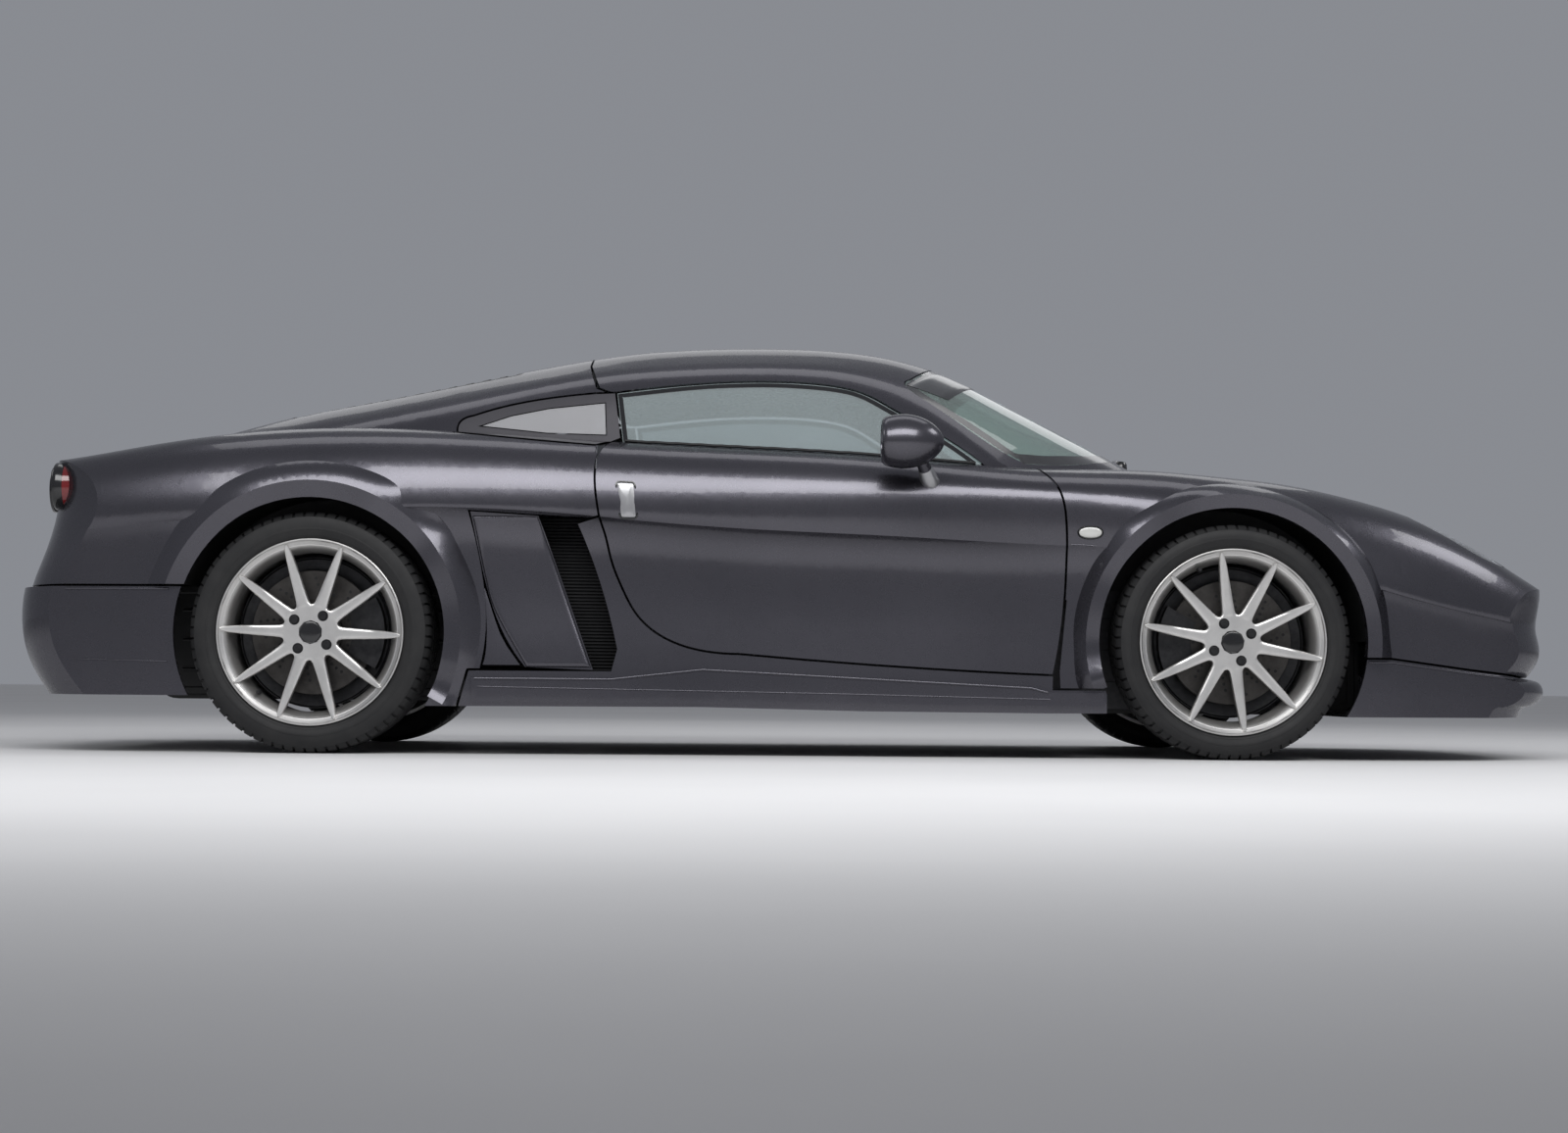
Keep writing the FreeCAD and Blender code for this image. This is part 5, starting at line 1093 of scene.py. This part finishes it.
# Padded seats: a hard shell behind, a crowned cushion, back with side bolsters and a head restraint
SEAT_Y = 0.345
SEAM_DEPTH, SEAM_WIDTH = 0.004, 0.022
CHANNEL_DEPTH = 0.0045
SHELL_THICK = 0.005
BACK_LINE = ((-0.372, 0.305), (-0.405, 0.42), (-0.432, 0.54), (-0.458, 0.66), (-0.48, 0.77), (-0.5, 0.868))
SHELL_LINE = ((0.055, 0.158), (-0.1, 0.156), (-0.28, 0.16), (-0.385, 0.2), (-0.415, 0.33), (-0.452, 0.52),
              (-0.488, 0.72), (-0.512, 0.88))


def across(count):
    """Even steps from -1 to 1."""
    return [-1 + 2 * j / (count - 1) for j in range(count)]


def profile_at(line, t):
    place = t * (len(line) - 1)
    i = min(int(place), len(line) - 2)
    return tuple(a + (b - a) * (place - i) for a, b in zip(line[i], line[i + 1]))


def rounded_end(share):
    return math.sqrt(max(0.0, 1 - (1 - min(1.0, share)) ** 2))


def hump(a, middle, width):
    return math.exp(-((a - middle) / width) ** 2)


def channel(a, t, count, half, low, high):
    """Depth of the channels across the middle of a pad."""
    if a < half and low < t < high:
        return CHANNEL_DEPTH * (0.5 + 0.5 * math.cos(2 * math.pi * t * count)) ** 6
    return 0.0


def seat_back(side, sign):
    """Back pad, with bolsters, channels across the middle and a stitched edge."""
    front, rear = [], []
    for i in range(61):
        t = i / 60
        x, z = profile_at(BACK_LINE, t)
        half = 0.196 - 0.05 * max(0.0, t - 0.35) ** 1.2 - 0.015 * (1 - t) ** 3
        front.append([])
        rear.append([])
        for s in across(41):
            a = abs(s)
            bolster = 0.04 * hump(a, 0.8, 0.13) * (1 - 0.75 * t) + 0.006 * (1 - a * a)
            cut = channel(a, t, 9, 0.58, 0.12, 0.86) + SEAM_DEPTH * hump(a, 0.62, SEAM_WIDTH)
            edge = math.sqrt(max(0.0, 1 - a ** 7))
            thick = (0.03 + bolster - cut) * edge * (0.35 + 0.65 * rounded_end(min(6 * t, 7 * (1 - t))))
            front[-1].append((x + thick, sign * SEAT_Y + s * half, z + 0.25 * thick))
            rear[-1].append((x - 0.006 * edge, sign * SEAT_Y + s * half, z))
    return sheet("seat_back_" + side, front, rear, LEATHER, "body", slot="trim_fabric", sharp=60, flip=True)


def seat_cushion(side, sign):
    top, low = [], []
    for i in range(49):
        t = i / 48
        x, base, half = -0.335 + 0.395 * t, 0.166 + 0.004 * t, 0.2 - 0.012 * (1 - t)
        high = 0.25 + 0.034 * t - 0.03 * max(0.0, t - 0.86) / 0.14
        top.append([])
        low.append([])
        for s in across(41):
            a = abs(s)
            bolster = 0.03 * hump(a, 0.82, 0.12) * (1 - 0.5 * t)
            cut = channel(a, t, 7, 0.6, 0.08, 0.9) + SEAM_DEPTH * hump(a, 0.64, SEAM_WIDTH)
            edge = math.sqrt(max(0.0, 1 - a ** 8))
            rise = (high - base + bolster - cut) * edge * (0.45 + 0.55 * rounded_end(min(8 * (1 - t), 12 * t)))
            top[-1].append((x, sign * SEAT_Y + s * half, base + max(0.004, rise)))
            low[-1].append((x, sign * SEAT_Y + s * half * 0.985, base))
    return sheet("seat_cushion_" + side, top, low, LEATHER, "body", slot="trim_fabric", sharp=60)


def seat_shell(side, sign):
    """Moulded shell under and behind the pads."""
    line = smooth_run(SHELL_LINE, 6)
    end = len(line) - 1
    inner, outer = [], []
    for i, (x, z) in enumerate(line):
        before, after = line[max(0, i - 1)], line[min(end, i + 1)]
        run = math.hypot(after[0] - before[0], after[1] - before[1])
        nx, nz = (after[1] - before[1]) / run, -(after[0] - before[0]) / run
        t = i / end
        half = 0.206 - 0.055 * max(0.0, t - 0.55)
        bend = math.sin(math.pi * min(1.0, 0.15 + 0.8 * t))
        for rows, thick in ((inner, 0.0), (outer, SHELL_THICK)):
            row = []
            for s in across(25):
                off = 0.04 * max(0.0, abs(s) - 0.8) / 0.2 * bend + thick
                row.append((x + nx * off, sign * SEAT_Y + s * half, z + nz * off))
            rows.append(row)
    sheet("seat_shell_" + side, inner, outer, GLOSS_BLACK, "body", sharp=50)


def head_pad(side, sign):
    rows = []
    for t in across(17):
        size = 0.25 + 0.75 * math.sqrt(max(0.0, 1 - abs(t) ** 5))
        x, y, z = -0.48 + 0.01 * (1 - t * t), sign * SEAT_Y + 0.105 * t, 0.832
        rows.append([(x + 0.03 * c * size, y, z + 0.052 * s * size) for c, s in superellipse(40, 2.8)])
    return loft("head_pad_" + side, rows, LEATHER, "body", caps=2, slot="trim_fabric", sharp=60)


for side, sign in SIDES:
    for maker in (seat_back, seat_cushion, head_pad):
        pad = maker(side, sign)
    seat_shell(side, sign)
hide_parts("seats")


# Inside of the cabin: instrument hood with two dials, centre stack, gear lever and mirror
DIALS = ((0.285, 0.046), (0.392, 0.04))  # y, radius
STACK_OUTLINE = ((-0.085, None), (0.085, None), (0.08, -0.012), (0.068, 0.0), (-0.068, 0.0), (-0.08, -0.012))
STACK_FOOT = 0.303
KNOB = ((0.012, 0.0), (0.022, 0.01), (0.026, 0.024), (0.022, 0.04), (0.012, 0.048), (0.0006, 0.05))


def cabin_details():
    hood = []
    for k in range(9):
        y = SEAT_Y - 0.15 + 0.3 * k / 8
        bulge = math.sqrt(max(0.02, 1 - ((y - SEAT_Y) / 0.158) ** 2))
        hood.append([(x, y, z + rise * bulge) for x, z, rise in (
            (0.43, 0.742, 0), (0.424, 0.742, 0.058), (0.455, 0.748, 0.066), (0.52, 0.76, 0.052), (0.56, 0.776, 0),
            (0.5, 0.744, 0))])
    loft("instrument_hood", hood, DASH, "body", caps=2, sharp=30)
    for number, (y, r) in enumerate(DIALS):
        profile = ((r, -0.004), (r, 0.004), (r - 0.003, 0.0055), (r - 0.006, 0.003), (r - 0.007, -0.001),
                   (0.0005, -0.001))
        ring_at((0.4295, y, 0.722), (-1, 0, 0.2), profile, 44, "dial_%d" % (number + 1), GLOSS_BLACK, "body", caps=1)
    stack = []
    for k in range(9):
        t = k / 8
        top = 0.64 - 0.275 * t ** 0.6
        stack.append([(0.418 - 0.36 * t, y * (1 - 0.15 * t), STACK_FOOT if drop is None else top + drop)
                      for y, drop in STACK_OUTLINE])
    loft("centre_stack", stack, DASH, "body", caps=2, sharp=30)
    tube("gear_lever", ((0.02, 0, 0.345), (0.016, 0, 0.4), (0.01, 0, 0.45)), [0.01, 0.007, 0.007], STEEL, "body")
    ring_at((0.01, 0, 0.446), (0, 0, 1), KNOB, 28, "gear_knob", STEEL, "body", caps=1)
    tube("inner_mirror_stalk", ((0.44, 0, 1.035), (0.452, 0, 1.01), (0.462, 0, 0.992)), 0.006, PLASTIC, "body",
         sides=10)
    rows = [[(0.458 + depth, a * 0.105 * share, 0.985 + b * 0.027 * share) for a, b in superellipse(48, 3.2)]
            for depth, share in ((0.0, 0.92), (0.004, 1.0), (0.016, 0.98), (0.024, 0.8))]
    loft("inner_mirror", rows, GLOSS_BLACK, "body", caps=2, sharp=40, flip=True)


cabin_details()


# Floor, world and soft lamps
FLOOR_REACH = 60.0
SEEN_COLOUR = (0.25, 0.26, 0.285, 1)
AMBIENT_COLOUR = (0.27, 0.275, 0.29, 1)
LAMPS = (  # name, place, target, size, watts
    ("overhead", (0, 1.8, 5.1), (0, 0, 0.5), (6.0, 1.8), 42),
    ("near_side", (0, -4.4, 3.8), (0, -0.9, 0.6), (6.6, 2.3), 260),
    ("far_side", (0, 6.0, 3.4), (0, 0, 0.6), (6.0, 1.6), 22),
    ("front_end", (5.2, 0.3, 4.3), (1.4, -0.4, 0.6), (2.4, 1.6), 55),
    ("rear_end", (-6.0, 0.2, 3.6), (-1.8, 0, 0.7), (2.4, 1.4), 25))


def make_floor():
    s = Surface("studio_floor")
    material = s.finished(
        s.ramp(s.noise(0.6, 3.0), (0.3, (0.66, 0.66, 0.67)), (0.7, (0.7, 0.7, 0.71))),
        s.spread(s.noise(3, 3.0), 0.55, 0.7), s.noise(60, 4.0), 0.05, 0.001)
    mesh = bpy.data.meshes.new("studio_floor")
    mesh.from_pydata([(a * FLOOR_REACH, b * FLOOR_REACH, 0) for a, b in ((-1, -1), (1, -1), (1, 1), (-1, 1))],
                     [], [(0, 1, 2, 3)])
    mesh.materials.append(material)
    floor = bpy.data.objects.new("studio_floor", mesh)
    bpy.context.scene.collection.objects.link(floor)


def make_world():
    """Even backdrop, in one colour where it is seen or mirrored and another as ambient light."""
    world = bpy.data.worlds.new("studio")
    bpy.context.scene.world = world
    world.use_nodes = True
    tree = world.node_tree
    rays = tree.nodes.new("ShaderNodeLightPath").outputs
    seen = rays["Is Camera Ray"]
    for other in ("Is Glossy Ray", "Is Transmission Ray"):
        either = tree.nodes.new("ShaderNodeMath")
        either.operation = "MAXIMUM"
        tree.links.new(seen, either.inputs[0])
        tree.links.new(rays[other], either.inputs[1])
        seen = either.outputs[0]
    factor, first, second, result = mix_node(tree, "MIX")
    first.default_value, second.default_value = AMBIENT_COLOUR, SEEN_COLOUR
    back = tree.nodes["Background"]
    tree.links.new(seen, factor)
    tree.links.new(result, back.inputs["Color"])
    back.inputs["Strength"].default_value = 1.0


def softbox(name, place, target, size, watts):
    data = bpy.data.lights.new(name, "AREA")
    data.shape = "RECTANGLE"
    data.size, data.size_y = size
    data.energy = watts
    lamp = bpy.data.objects.new(name, data)
    bpy.context.scene.collection.objects.link(lamp)
    lamp.location = place
    lamp.visible_camera = False
    lamp.visible_transmission = False
    lamp.rotation_mode = "QUATERNION"
    lamp.rotation_quaternion = (Vector(target) - Vector(place)).to_track_quat("-Z", "Y")


make_floor()
make_world()
for lamp in LAMPS:
    softbox(*lamp)
bpy.context.scene.view_settings.view_transform = "Standard"
